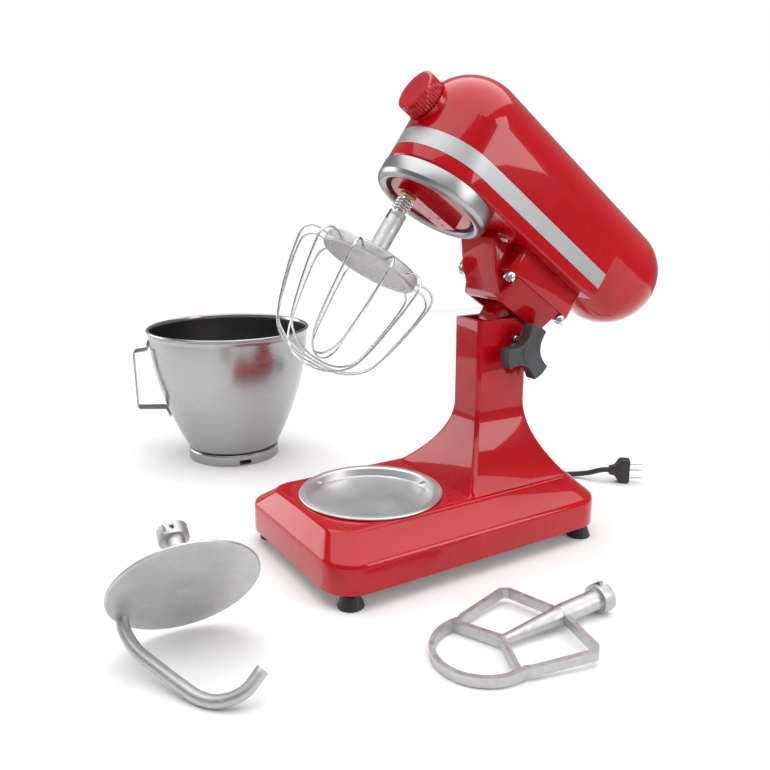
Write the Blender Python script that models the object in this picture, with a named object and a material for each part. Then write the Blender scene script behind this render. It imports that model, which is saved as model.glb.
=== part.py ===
"""Tilt-head planetary stand mixer with its bowl, whisk, dough hook and flat beater.

Sizes are in millimetres and are scaled to metres where meshes are made. +Z is up, -Y is the
bowl side, +X is the side of the clamp knob. The head is modelled level, in its working pose,
and its hinge empty then tilts it open. The bowl seat's axis is X = 0, Y = 0 until the whole
set is moved to put the origin under its middle.
"""

import math

import bpy
from mathutils import Matrix, Vector

MM = 0.001
GAP = 0.3  # between pieces that touch
CLEARANCE = 0.8  # between pieces that move past each other
PAST = 5.0  # by which a cutter runs past what it cuts

# Bowl
BOWL_RADIUS = 116.0
BOWL_HEIGHT = 194.0
BOWL_FOOT_RADIUS = 66.0
BOWL_FOOT_HEIGHT = 15.0
BOWL_BASE_RADIUS = 58.0
BOWL_RIM_OVERHANG = 3.0
BOWL_PLACE = (-395.0, -4.0)
HANDLE_WIDTH = 22.0
HANDLE_REACH = 20.0
HANDLE_TOP = 163.0
HANDLE_LOW = 79.0
HANDLE_HEADING = -108.0
SHEET = 1.5
BAYONETS = 3
BAYONET_FIT = 2.0
LUG_RADIUS = 2.0
LUG_HEIGHT = 5.5
LUG_HEADING = 90.0
NOTCH_HEADING = -12.0
NOTCH_WIDTH = 6.5
NOTCH_RUN = 10.0

# Stand: one casting with a foot plate and a column
BASE_WIDTH = 219.0
BASE_FRONT_REACH = 102.0  # from the bowl's axis
BASE_REAR_REACH = 50.0  # behind the column
BASE_CORNER = 34.0
BASE_UNDERSIDE = 18.0
BASE_WALL_TOP = 48.0
DECK_Z = 69.0
DECK_MARGIN = 33.0
DECK_FRONT_MARGIN = 17.0
CASTING_WALL = 6.0
THROAT = 126.0  # from the bowl's axis to the column
COLUMN_WIDTH = 45.4
COLUMN_DEPTH = 70.0
COLUMN_TOP = 248.0
COLUMN_CORNER = 5.0
COLUMN_FLARE_TOP = 152.0
FLARE_INSET = 3.8  # from the deck's edge to the column's foot
FRONT_FLARE = 44.0
BACK_FLARE = 26.0
COLUMN_CREST = 18.0
FOOT_RADIUS = 14.0
FOOT_STUD = 4.0
FOOT_SIDE_INSET = 17.5
FOOT_FRONT_INSET = 24.0
FOOT_BACK_INSET = 22.0
SEAT_FLANGE = 8.5
SEAT_DEPTH = 9.0
GLAND_PLACE = (-66.0, 27.0)
GLAND_RADIUS = 6.0
GLAND_LENGTH = 22.0

BASE_FRONT = -BASE_FRONT_REACH
COLUMN_BACK = THROAT + COLUMN_DEPTH
BASE_BACK = COLUMN_BACK + BASE_REAR_REACH
SIDE_FLARE = BASE_WIDTH / 2 - DECK_MARGIN - FLARE_INSET - COLUMN_WIDTH / 2
SEAT_PAN_RADIUS = BOWL_FOOT_RADIUS + BAYONET_FIT + SHEET
SEAT_RADIUS = SEAT_PAN_RADIUS + SEAT_FLANGE

# Hinge and clamp
HINGE_INSET = 17.4  # in front of the column's back
HINGE_DROP = 37.0  # below the column's top
TILT = 35.0
HINGE_BOLT_RADIUS = 5.0
KNUCKLE_RADIUS = 15.0
KNUCKLE_WIDTH = 28.0
KNOB_HUB_RADIUS = 11.0
KNOB_ARM = 32.0
KNOB_TIP_WIDTH = 23.0
KNOB_HEADING = 66.0
KNOB_THICKNESS = 14.0
KNOB_WAIST = 15.0
KNOB_THREAD_SPARE = 3.0
CHEEK_SCREW_RADIUS = 2.5

HINGE_Y = COLUMN_BACK - HINGE_INSET
HINGE_Z = COLUMN_TOP - HINGE_DROP

# Head
HEAD_RADIUS = 62.0
HEAD_LENGTH = 267.0
HEAD_RISE = 52.0  # from the column's top to the case's underside
CASE_TO_BAND = 15.0
BAND_HEIGHT = 19.0
BAND_TO_AXIS = 32.0
BAND_THICKNESS = 2.0
HEAD_WALL = 3.5
BEZEL_HEIGHT = 21.0
NECK_HALF_WIDTH = 47.0
NECK_FRONT_REACH = 79.6  # in front of the hinge
NECK_BACK_REACH = 26.4
NECK_FLANGE = 30.0
NECK_SCREW_INSET = 6.5
NECK_SCREW_RADIUS = 4.0
HOOD_WALL = 5.5
CASE_PAD_RADIUS = 9.0
CASE_PAD_HEIGHT = 6.0
CASE_SCREW_PLACE = (COLUMN_WIDTH / 2 + HOOD_WALL + CASE_PAD_RADIUS + 2.8, 76.0)
CASE_SCREW_RADIUS = 2.0
CASE_FLOOR = 4.0
SPEED_KNOB_RADIUS = 22.5
SPEED_KNOB_LENGTH = 17.5
SPEED_KNOB_Z = 363.0
KNOB_BOSS = 1.5
SPINDLE_RADIUS = 3.5

CASE_BOTTOM = COLUMN_TOP + HEAD_RISE
BAND_BOTTOM = CASE_BOTTOM + CASE_TO_BAND
BAND_TOP = BAND_BOTTOM + BAND_HEIGHT
HEAD_AXIS_Z = BAND_TOP + BAND_TO_AXIS
NECK_FRONT = HINGE_Y - NECK_FRONT_REACH
NECK_BACK = HINGE_Y + NECK_BACK_REACH
CASE_LENGTH = NECK_BACK + 4
HEAD_INSIDE = HEAD_RADIUS - HEAD_WALL

# Drive
GEAR_MODULE = 2.0
PLANET_TEETH = 14
RING_TEETH = 42
RING_RIM = 6.9
GEAR_WIDTH = 9.0
MAIN_SHAFT_RADIUS = 8.0
WORM_WHEEL_RADIUS = 16.0
WORM_RADIUS = 5.5
WORM_DROP = 6.0  # below the head's axis
BEARING_RADIUS = 18.0
BRIDGE_BEARING_RADIUS = 13.0
BRIDGE_THICKNESS = 7.0
ARMATURE_RADIUS = 16.0
AIR_GAP = 1.5
MOTOR_SHAFT_RADIUS = 4.0
MOTOR_START = 104.0
MOTOR_LENGTH = 85.0
TOOL_SHAFT_RADIUS = 6.0
CARRIER_THICKNESS = 6.0
CARRIER_BOSS = 9.0
CARRIER_BOSS_RADIUS = 13.0

PLANET_OFFSET = GEAR_MODULE * (RING_TEETH - PLANET_TEETH) / 2
RING_OUTER = GEAR_MODULE * (RING_TEETH / 2 + 1.15) + RING_RIM
MOTOR_X = WORM_WHEEL_RADIUS + WORM_RADIUS + 0.6
WORM_Z = HEAD_AXIS_Z - WORM_DROP
MOTOR_RADIUS = HEAD_INSIDE - math.hypot(MOTOR_X, WORM_DROP) - CLEARANCE
GEAR_LOW = CASE_BOTTOM - GAP - GEAR_WIDTH
CARRIER_LOW = GEAR_LOW - 1 - CARRIER_THICKNESS

# Tools
SLEEVE_WALL = 3.2
SLEEVE_LENGTH = 58.0  # from the whisk's hub to its socket's mouth
SOCKET_DEPTH = 38.0
SOCKET_DROP = 46.0  # from the case's underside to the socket's mouth
WHISK_HUB_RADIUS = 52.0
WHISK_HUB_HEIGHT = 13.0
WHISK_LOOPS = 6
WHISK_WIRE = 1.3
WHISK_SHOULDER = 76.0
WHISK_FLOOR_GAP = 13.0
HOOK_DISC_RADIUS = 66.0
HOOK_ROD_RADIUS = 5.5
TOOL_COLLAR_RADIUS = 14.0
BEATER_BAR = 5.0
BEATER_THICKNESS = 9.0
HOOK_PLACE = (81.0, -233.5, 60.4)
HOOK_ACROSS = (0.39, 0.829, 0.40)
HOOK_AXIS = (-0.806, 0.0987, 0.51)
BEATER_PLACE = (225.0, 2.0, 8.6)
BEATER_UP = (0.0, -0.05, 1.0)

SLEEVE_BORE = TOOL_SHAFT_RADIUS + GAP
SLEEVE_RADIUS = SLEEVE_BORE + SLEEVE_WALL
SLEEVE_TOP = CASE_BOTTOM - SOCKET_DROP
WHISK_HUB_Z = SLEEVE_TOP - SLEEVE_LENGTH
WHISK_BOTTOM = DECK_Z - SEAT_DEPTH + SHEET + WHISK_FLOOR_GAP

# Supply cord: a coil of three turns across and two high
CORD_RADIUS = 3.6
COIL_RADIUS = 37.0
COIL_CENTRE = (-132.0, 325.0)
PLUG_REAR = (-8.5, 383.0)
PLUG_HEADING = 52.0
PLUG_HEIGHT = 34.0
PLUG_THICKNESS = 17.0
PLUG_LENGTH = 26.0
PIN_RADIUS = 2.0
PIN_SPACING = 9.5
PIN_LENGTH = 18.0
PIN_SEAT = 6.0

RED = "red_paint"
STEEL = "brushed_steel"

MATERIALS = {
    RED: ((0.45, 0.004, 0.012), 0.16, 0.0),
    STEEL: ((0.55, 0.55, 0.56), 0.32, 1.0),
    "satin_silver": ((0.62, 0.63, 0.65), 0.38, 1.0),
    "cast_aluminium": ((0.66, 0.66, 0.67), 0.45, 1.0),
    "bright_steel": ((0.72, 0.72, 0.73), 0.2, 1.0),
    "black_plastic": ((0.035, 0.035, 0.038), 0.5, 0.0),
    "black_rubber": ((0.02, 0.02, 0.02), 0.7, 0.0),
    "brass": ((0.7, 0.5, 0.2), 0.3, 1.0),
    "gear_steel": ((0.4, 0.4, 0.42), 0.35, 1.0),
    "copper": ((0.6, 0.25, 0.12), 0.4, 1.0),
    "circuit_green": ((0.02, 0.16, 0.06), 0.5, 0.0),
}

SET_SHIFT = (111.26, -51.38, 0.0)  # from the bowl seat's axis to the middle of the whole set

pivots = {}


def clear_scene():
    for obj in list(bpy.data.objects):
        bpy.data.objects.remove(obj)


def material(name):
    found = bpy.data.materials.get(name)
    if found:
        return found
    color, roughness, metallic = MATERIALS[name]
    made = bpy.data.materials.new(name)
    made.use_nodes = True
    shader = made.node_tree.nodes["Principled BSDF"]
    shader.inputs["Base Color"].default_value = (*color, 1)
    shader.inputs["Roughness"].default_value = roughness
    shader.inputs["Metallic"].default_value = metallic
    return made


def pivot(name, place, parent=None, turn=None):
    """An empty at a place given with every joint at zero and the head level."""
    empty = bpy.data.objects.new(name, None)
    empty.empty_display_size = 0.02
    bpy.context.collection.objects.link(empty)
    pivots[name] = Vector(place)
    start = pivots[parent] if parent else Vector((0, 0, 0))
    empty.location = (pivots[name] - start) * MM
    if parent:
        empty.parent = bpy.data.objects[parent]
    if turn:
        empty.rotation_euler = turn
    return empty


def place_object(name, data, on, coating):
    obj = bpy.data.objects.new(name, data)
    bpy.context.collection.objects.link(obj)
    obj.parent = bpy.data.objects[on]
    if coating:
        data.materials.append(material(coating))
    return obj


def solid(name, points, faces, on, coating=None):
    """A mesh object from millimetre points in the level pose."""
    start = pivots[on]
    mesh = bpy.data.meshes.new(name)
    mesh.from_pydata([(Vector(p) - start) * MM for p in points], [], faces)
    mesh.validate()
    return place_object(name, mesh, on, coating)


def loft(name, loops, on, coating=None):
    """A closed body through loops of equal length, with flat caps. Loops turn anticlockwise seen
    from the last loop."""
    count = len(loops[0])
    points = [p for loop in loops for p in loop]
    faces = [tuple(reversed(range(count)))]
    for row in range(len(loops) - 1):
        for i in range(count):
            j = (i + 1) % count
            low = row * count
            high = low + count
            faces.append((low + i, low + j, high + j, high + i))
    last = (len(loops) - 1) * count
    faces.append(tuple(range(last, last + count)))
    return solid(name, points, faces, on, coating)


def frame_of(axis):
    """Two unit vectors across an axis, so that side, up, axis is a right-handed set."""
    axis = Vector(axis).normalized()
    helper = Vector((0, 0, 1)) if abs(axis.z) < 0.9 else Vector((0, 1, 0))
    side = helper.cross(axis).normalized()
    return side, axis.cross(side), axis


def lathe(name, profile, centre, axis, on, coating=None, steps=32):
    """Turns a closed profile of (radius, height) points, given anticlockwise with radius to the
    right and height up, about an axis through centre."""
    side, up, axis = frame_of(axis)
    centre = Vector(centre)
    points = []
    rings = []
    for radius, height in profile:
        if radius < 1e-6:
            rings.append([len(points)] * steps)
            points.append(centre + axis * height)
            continue
        rings.append(list(range(len(points), len(points) + steps)))
        for i in range(steps):
            angle = 2 * math.pi * i / steps
            spoke = side * math.cos(angle) + up * math.sin(angle)
            points.append(centre + axis * height + spoke * radius)
    faces = []
    for row, ring in enumerate(rings):
        after = rings[(row + 1) % len(rings)]
        if ring[0] == ring[1] and after[0] == after[1]:
            continue
        for i in range(steps):
            j = (i + 1) % steps
            corners = (ring[i], ring[j], after[j], after[i])
            faces.append(tuple(dict.fromkeys(corners)))
    return solid(name, points, faces, on, coating)


def cylinder(name, radius, start, end, on, coating=None, steps=32):
    start, end = Vector(start), Vector(end)
    length = (end - start).length
    profile = [(0, 0), (radius, 0), (radius, length), (0, length)]
    return lathe(name, profile, start, end - start, on, coating, steps)


def ring(name, inner, outer, centre, axis, height, on, coating=None, steps=32):
    profile = [(inner, 0), (outer, 0), (outer, height), (inner, height)]
    return lathe(name, profile, centre, axis, on, coating, steps)


def block(name, low, high, on, coating=None):
    x0, y0, z0 = low
    x1, y1, z1 = high
    bottom = [(x0, y0, z0), (x1, y0, z0), (x1, y1, z0), (x0, y1, z0)]
    top = [(x, y, z1) for x, y, _ in bottom]
    return loft(name, [bottom, top], on, coating)


def side_prism(name, outline, x0, x1, on, coating=None):
    """Extrudes an anticlockwise (y, z) outline along X."""
    near = [(x0, y, z) for y, z in outline]
    far = [(x1, y, z) for y, z in outline]
    return loft(name, [near, far], on, coating)


def tube(name, points, radius, on, coating=None, resolution=2):
    """A round wire through millimetre points, closed at both ends."""
    start = pivots[on]
    curve = bpy.data.curves.new(name, "CURVE")
    curve.dimensions = "3D"
    curve.bevel_depth = radius * MM
    curve.bevel_resolution = resolution
    curve.use_fill_caps = True
    spline = curve.splines.new("POLY")
    spline.points.add(len(points) - 1)
    for target, point in zip(spline.points, points):
        target.co = (*((Vector(point) - start) * MM), 1)
    return place_object(name, curve, on, coating)


def combine(target, other, operation):
    modifier = target.modifiers.new(other.name, "BOOLEAN")
    modifier.object = other
    modifier.operation = operation
    modifier.solver = "EXACT"
    other.hide_render = True
    other.display_type = "WIRE"


def cut(target, other):
    combine(target, other, "DIFFERENCE")


def join(target, other):
    combine(target, other, "UNION")


def heading(degrees):
    """A level unit vector, turned from +X towards +Y."""
    angle = math.radians(degrees)
    return Vector((math.cos(angle), math.sin(angle), 0))


def arc(centre, radius, start, end, count):
    """Points on a circle from one angle to another, in degrees."""
    found = []
    for i in range(count + 1):
        angle = math.radians(start + (end - start) * i / count)
        found.append((centre[0] + radius * math.cos(angle), centre[1] + radius * math.sin(angle)))
    return found


def rounded_rectangle(x0, x1, y0, y1, radius, z, count=5):
    corners = (
        ((x1 - radius, y0 + radius), -90),
        ((x1 - radius, y1 - radius), 0),
        ((x0 + radius, y1 - radius), 90),
        ((x0 + radius, y0 + radius), 180),
    )
    points = []
    for centre, start in corners:
        points += [(x, y, z) for x, y in arc(centre, radius, start, start + 90, count)]
    return points


def smooth_path(route, step):
    """Points about one step apart on a smooth curve through the route's own points."""
    route = [Vector(p) for p in route]
    ends = [2 * route[0] - route[1], *route, 2 * route[-1] - route[-2]]
    found = []
    for i in range(1, len(ends) - 2):
        before, start, end, after = ends[i - 1 : i + 3]
        count = max(1, round((end - start).length / step))
        for k in range(count):
            t = k / count
            found.append(
                0.5
                * (
                    2 * start
                    + (end - before) * t
                    + (2 * before - 5 * start + 4 * end - after) * t * t
                    + (3 * start - before - 3 * end + after) * t * t * t
                )
            )
    return found + [route[-1]]


# Stand


def base_loop(z, inset):
    """The base's outline at a height, moved inwards by an inset."""
    half = BASE_WIDTH / 2
    rise = min(max((z - BASE_WALL_TOP) / (DECK_Z - BASE_WALL_TOP), 0), 1)
    side = DECK_MARGIN * rise + inset
    front = DECK_FRONT_MARGIN * rise**1.5 + inset
    corner = max(BASE_CORNER - 0.35 * side, 6)
    ends = (BASE_FRONT + front, BASE_BACK - front)
    return rounded_rectangle(-half + side, half - side, *ends, corner, z)


def column_loop(z, inset):
    """The column's outline at a height. It flares to the front and sides towards the deck."""
    fall = max((COLUMN_FLARE_TOP - z) / (COLUMN_FLARE_TOP - DECK_Z), 0)
    half = COLUMN_WIDTH / 2 + SIDE_FLARE * fall**2 - inset
    front = THROAT - FRONT_FLARE * fall**2 + inset
    back = COLUMN_BACK + BACK_FLARE * fall**2 - inset
    corner = max(COLUMN_CORNER - inset / 2, 2)
    return rounded_rectangle(-half, half, front, back, corner, z)


def casting_loops(inset, bottom, top):
    """Outline loops of the base and column, from a bottom to a top, moved inwards by an inset."""
    loops = [[(x, y, bottom) for x, y, _ in base_loop(BASE_UNDERSIDE, inset)]]
    wall_top = BASE_WALL_TOP - inset / 2
    loops.append([(x, y, wall_top) for x, y, _ in base_loop(BASE_WALL_TOP, inset)])
    for share in (0.12, 0.5, 0.88, 1):
        z = BASE_WALL_TOP + share * (DECK_Z - BASE_WALL_TOP)
        lowered = z - inset * (1 + share) / 2
        edge = 2 if share == 1 else 0
        loops.append([(x, y, lowered) for x, y, _ in base_loop(z, inset + edge)])
    loops.append([(x, y, DECK_Z - inset) for x, y, _ in column_loop(DECK_Z, inset)])
    for share in (0.12, 0.28, 0.46, 0.66, 0.85, 1):
        z = DECK_Z + share * (COLUMN_FLARE_TOP - DECK_Z)
        loops.append(column_loop(z, inset))
    loops.append([(x, y, top) for x, y, _ in column_loop(COLUMN_TOP, inset)])
    return loops


def stand_casting():
    body = loft("stand_casting", casting_loops(0, BASE_UNDERSIDE, COLUMN_TOP), "stand", RED)
    cavity = casting_loops(CASTING_WALL, BASE_UNDERSIDE - PAST, COLUMN_TOP + PAST)
    cut(body, loft("cut_cavity", cavity, "stand"))
    pan_ends = ((0, 0, DECK_Z - SEAT_DEPTH - PAST), (0, 0, DECK_Z + PAST))
    cut(body, cylinder("cut_seat", SEAT_PAN_RADIUS + GAP, *pan_ends, "stand", steps=48))
    half = COLUMN_WIDTH / 2 + PAST
    centre = (COLUMN_BACK - COLUMN_CREST, COLUMN_TOP - COLUMN_CREST)
    outline = arc(centre, COLUMN_CREST, 90, 0, 6)
    outline += [(COLUMN_BACK + PAST, centre[1]), (COLUMN_BACK + PAST, COLUMN_TOP + PAST)]
    outline.append((centre[0], COLUMN_TOP + PAST))
    cut(body, side_prism("cut_crest", outline, -half, half, "stand"))
    slot = KNUCKLE_WIDTH / 2 + CLEARANCE
    low = (-slot, HINGE_Y, HINGE_Z - KNUCKLE_RADIUS - 10)
    cut(body, block("cut_knuckle_slot", low, (slot, COLUMN_BACK + PAST, COLUMN_TOP + PAST), "stand"))
    ends = ((-half, HINGE_Y, HINGE_Z), (half, HINGE_Y, HINGE_Z))
    cut(body, cylinder("cut_hinge_bolt", HINGE_BOLT_RADIUS + GAP, *ends, "stand", steps=24))
    screw = cheek_screw_place()
    ends = (screw - Vector((CASTING_WALL + PAST, 0, 0)), screw + Vector((PAST, 0, 0)))
    cut(body, cylinder("cut_cheek_screw", CHEEK_SCREW_RADIUS + GAP, *ends, "stand", steps=16))
    gland = gland_place()
    ends = (gland - Vector((0, CASTING_WALL + PAST, 0)), gland + Vector((0, PAST, 0)))
    cut(body, cylinder("cut_gland", GLAND_RADIUS + GAP, *ends, "stand", steps=20))


def cheek_screw_place():
    return Vector((COLUMN_WIDTH / 2, HINGE_Y - 1, HINGE_Z + 13))


def gland_place():
    x, z = GLAND_PLACE
    return Vector((x, BASE_BACK, z))


def foot_places():
    side = BASE_WIDTH / 2 - FOOT_SIDE_INSET
    front = BASE_FRONT + FOOT_FRONT_INSET
    back = BASE_BACK - FOOT_BACK_INSET
    return {
        "front_right": (side, front),
        "front_left": (-side, front),
        "rear_right": (side, back),
        "rear_left": (-side, back),
    }


def base_cover():
    """The sheet that closes the underside, just inside the casting's wall."""
    loops = []
    for z in (BASE_UNDERSIDE + 1, BASE_UNDERSIDE + 1 + SHEET):
        loops.append([(x, y, z) for x, y, _ in base_loop(BASE_UNDERSIDE, CASTING_WALL + GAP)])
    cover = loft("base_cover", loops, "stand", STEEL)
    for name, (x, y) in foot_places().items():
        ends = ((x, y, BASE_UNDERSIDE - PAST), (x, y, BASE_UNDERSIDE + PAST))
        cut(cover, cylinder(f"cut_stud_{name}", FOOT_STUD + GAP, *ends, "stand", steps=16))


def feet():
    top = BASE_UNDERSIDE - 4
    stud = FOOT_STUD
    profile = [(0, 0), (FOOT_RADIUS - 1, 0), (FOOT_RADIUS, 2), (FOOT_RADIUS - 3, top - 2)]
    profile += [(FOOT_RADIUS - 5, top), (stud, top)]
    profile += [(stud, BASE_UNDERSIDE + 10), (0, BASE_UNDERSIDE + 10)]
    for name, (x, y) in foot_places().items():
        lathe(f"foot_{name}", profile, (x, y, 0), (0, 0, 1), "stand", "black_rubber", 20)


def bowl_seat():
    """The steel seat let into the deck, with bayonet lugs for the bowl's foot."""
    low = DECK_Z - SEAT_DEPTH
    flange = DECK_Z + GAP
    pan = SEAT_PAN_RADIUS
    profile = [
        (0, low),
        (pan - 2, low),
        (pan, low + 2),
        (pan, flange),
        (SEAT_RADIUS - 1, flange),
        (SEAT_RADIUS, flange + 1),
        (SEAT_RADIUS - 1, flange + 2.5),
        (pan + 1, flange + 3),
        (pan - SHEET, flange + 1.5),
        (pan - SHEET, low + 3),
        (pan - 3, low + SHEET),
        (0, low + SHEET),
    ]
    seat = lathe("bowl_seat", profile, (0, 0, 0), (0, 0, 1), "stand", STEEL, 44)
    height = Vector((0, 0, low + SHEET + LUG_HEIGHT))
    for lug in range(BAYONETS):
        out = heading(LUG_HEADING + 360 * lug / BAYONETS)
        ends = (out * (BOWL_FOOT_RADIUS - SHEET - 2) + height, out * (pan - SHEET / 2) + height)
        join(seat, cylinder(f"join_lug_{lug + 1}", LUG_RADIUS, *ends, "stand", steps=10))


def hinge_bolt():
    """The pivot and clamp bolt, with its head on the far cheek."""
    cheek = COLUMN_WIDTH / 2 + GAP
    r = HINGE_BOLT_RADIUS
    profile = [(0, -cheek - 7), (8, -cheek - 7), (8, -cheek), (r, -cheek)]
    profile += [(r, cheek + 20), (0, cheek + 20)]
    lathe("hinge_bolt", profile, (0, HINGE_Y, HINGE_Z), (1, 0, 0), "stand", "bright_steel", 24)


def cheek_screw():
    r = CHEEK_SCREW_RADIUS
    profile = [(0, -5.5), (r, -5.5), (r, GAP), (r + 1.5, GAP), (r + 1.5, 2.3), (r + 0.7, 3), (0, 3)]
    lathe("cheek_screw", profile, cheek_screw_place(), (1, 0, 0), "stand", "bright_steel", 16)


# Clamp


def clamp():
    """A washer and a three-lobed knob on the hinge bolt's thread."""
    face = COLUMN_WIDTH / 2 + GAP
    centre = (0, HINGE_Y, HINGE_Z)
    along = (1, 0, 0)
    bore = HINGE_BOLT_RADIUS + GAP
    washer = (face, HINGE_Y, HINGE_Z)
    ring("clamp_washer", bore, KNOB_HUB_RADIUS - 2, washer, along, SHEET, "clamp_turn", STEEL, 24)
    foot = face + SHEET + GAP
    neck = foot + 9
    cap = neck + KNOB_THICKNESS
    end = face + 20 + KNOB_THREAD_SPARE
    hub = [(bore, foot), (KNOB_HUB_RADIUS - 2, foot), (KNOB_HUB_RADIUS, neck)]
    hub += [(KNOB_HUB_RADIUS, cap + 1), (0, cap + 1), (0, end), (bore, end)]
    knob = lathe("clamp_knob", hub, centre, along, "clamp_turn", "black_plastic", 24)
    join(knob, side_prism("join_lobes", knob_outline(), neck, cap, "clamp_turn"))
    thread = cylinder("cut_thread", bore, washer, (end, HINGE_Y, HINGE_Z), "clamp_turn", steps=24)
    cut(knob, thread)


def knob_outline():
    """Three wide-ended lobes with hollow sides between them, seen along X as (y, z)."""
    half = math.degrees(math.asin(KNOB_TIP_WIDTH / 2 / KNOB_ARM))
    points = []
    for lobe in range(3):
        ahead = KNOB_HEADING + 120 * lobe
        points += arc((HINGE_Y, HINGE_Z), KNOB_ARM, ahead - half, ahead + half, 3)
        start = Vector(points[-1])
        last = arc((HINGE_Y, HINGE_Z), KNOB_ARM, ahead + 120 - half, ahead + 120 - half, 1)[0]
        waist = Vector(arc((HINGE_Y, HINGE_Z), KNOB_WAIST, ahead + 60, ahead + 60, 1)[0])
        pull = 2 * waist - (start + Vector(last)) / 2
        for t in (0.2, 0.4, 0.6, 0.8):
            spot = start * (1 - t) ** 2 + pull * 2 * t * (1 - t) + Vector(last) * t * t
            points.append(tuple(spot))
    return points


# Head shells


def u_loop(radius, length, z, count=16):
    """A round-nosed outline about the tool axis with straight sides back to a length."""
    nose = [(x, y, z) for x, y in arc((0, 0), radius, 180, 360, count)]
    return nose + [(radius, length, z), (-radius, length, z)]


def head_case():
    """The lower tray of the head: its floor carries the neck, the bezel and the gearing."""
    inner = HEAD_RADIUS - BAND_THICKNESS - GAP
    ledge = BAND_BOTTOM - GAP
    loops = [
        u_loop(HEAD_RADIUS - 1.5, CASE_LENGTH - 4, CASE_BOTTOM),
        u_loop(HEAD_RADIUS, CASE_LENGTH - 1, CASE_BOTTOM + 3),
        u_loop(HEAD_RADIUS, CASE_LENGTH, ledge),
        u_loop(inner, CASE_LENGTH - 1, ledge),
        u_loop(inner, CASE_LENGTH - 1, BAND_TOP - GAP),
    ]
    body = loft("head_case", loops, "head", RED)
    wall = inner - HEAD_WALL
    hollow = [u_loop(wall, CASE_LENGTH - 5, CASE_BOTTOM + CASE_FLOOR)]
    hollow.append(u_loop(wall, CASE_LENGTH - 5, BAND_TOP + PAST))
    cut(body, loft("cut_case", hollow, "head"))
    for name, (x, y) in case_screw_places().items():
        low = (x, y, CASE_BOTTOM - CASE_PAD_HEIGHT)
        ends = (low, (x, y, CASE_BOTTOM + 2))
        join(body, cylinder(f"join_pad_{name}", CASE_PAD_RADIUS, *ends, "head", steps=20))
        through_floor(body, name, (x, y), CASE_SCREW_RADIUS, CASE_PAD_HEIGHT)
    through_floor(body, "bearing", (0, 0), BEARING_RADIUS)
    for name, place in neck_screw_places().items():
        through_floor(body, name, place, NECK_SCREW_RADIUS)


def through_floor(body, name, place, radius, below=0):
    """Cuts a clearance hole through the case's floor."""
    low = (*place, CASE_BOTTOM - below - PAST)
    high = (*place, CASE_BOTTOM + CASE_FLOOR + PAST)
    cut(body, cylinder(f"cut_floor_{name}", radius + GAP, low, high, "head", steps=24))


def case_screw_places():
    x, y = CASE_SCREW_PLACE
    return {"case_right": (x, y), "case_left": (-x, y)}


def case_screws():
    low = CASE_BOTTOM - CASE_PAD_HEIGHT - GAP
    r = CASE_SCREW_RADIUS
    length = CASE_PAD_HEIGHT + CASE_FLOOR
    profile = [(0, -1.2), (2, -1.2), (2, -3), (r + 1.5, -3), (r + 2.5, -2), (r + 2.5, 0), (r, 0)]
    profile += [(r, length), (0, length)]
    for name, (x, y) in case_screw_places().items():
        side = name.split("_")[1]
        lathe(f"case_screw_{side}", profile, (x, y, low), (0, 0, 1), "head", "bright_steel", 16)


def trim_band():
    outer = [u_loop(HEAD_RADIUS, CASE_LENGTH, z) for z in (BAND_BOTTOM, BAND_TOP - GAP)]
    band = loft("trim_band", outer, "head", "satin_silver")
    inner = HEAD_RADIUS - BAND_THICKNESS
    opening = [u_loop(inner, CASE_LENGTH + PAST, z) for z in (BAND_BOTTOM - PAST, BAND_TOP + PAST)]
    cut(band, loft("cut_band", opening, "head"))


def capsule(name, radius, back, on, coating=None):
    """A level capsule whose front ball is on the tool axis."""
    steps, rows = 32, 7
    outline = []
    for k in range(1, rows + 1):
        angle = math.radians(90 * k / rows - 90)
        outline.append((radius * math.sin(angle), radius * math.cos(angle)))
    for k in range(rows):
        angle = math.radians(90 * k / rows)
        outline.append((back - radius + radius * math.sin(angle), radius * math.cos(angle)))
    points, rings = [(0, -radius, HEAD_AXIS_Z)], []
    for y, r in outline:
        rings.append(range(len(points), len(points) + steps))
        for i in range(steps):
            angle = 2 * math.pi * i / steps
            points.append((r * math.cos(angle), y, HEAD_AXIS_Z + r * math.sin(angle)))
    tip = len(points)
    points.append((0, back, HEAD_AXIS_Z))
    faces = []
    for i in range(steps):
        j = (i + 1) % steps
        faces.append((0, rings[0][i], rings[0][j]))
        for near, far in zip(rings, rings[1:]):
            faces.append((near[i], far[i], far[j], near[j]))
        faces.append((rings[-1][i], tip, rings[-1][j]))
    return solid(name, points, faces, on, coating)


def head_cover():
    """The upper shell: a capsule with straight sides down to the trim band, hollow inside."""
    back = HEAD_LENGTH + HEAD_RADIUS
    cover = capsule("head_cover", HEAD_RADIUS, back, "head", RED)
    skirt = [u_loop(HEAD_RADIUS, CASE_LENGTH, z) for z in (BAND_TOP, HEAD_AXIS_Z)]
    join(cover, loft("join_skirt", skirt, "head"))
    boss = SPEED_KNOB_RADIUS + KNOB_BOSS / 2
    join(cover, cylinder("join_boss_knob", boss, knob_axis(-20), knob_axis(0), "head", steps=30))
    reach = HEAD_RADIUS + 3 * PAST
    low = (-reach, -reach, HEAD_AXIS_Z - reach)
    cut(cover, block("cut_below_band", low, (reach, CASE_LENGTH + GAP, BAND_TOP), "head"))
    cut(cover, capsule("cut_inside", HEAD_INSIDE, back - HEAD_WALL, "head"))
    hollow = [u_loop(HEAD_INSIDE, CASE_LENGTH - 4, z) for z in (BAND_TOP - PAST, HEAD_AXIS_Z)]
    cut(cover, loft("cut_skirt", hollow, "head"))
    ends = (knob_axis(-20), knob_axis(PAST))
    cut(cover, cylinder("cut_spindle", SPINDLE_RADIUS + GAP, *ends, "head", steps=16))


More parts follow.
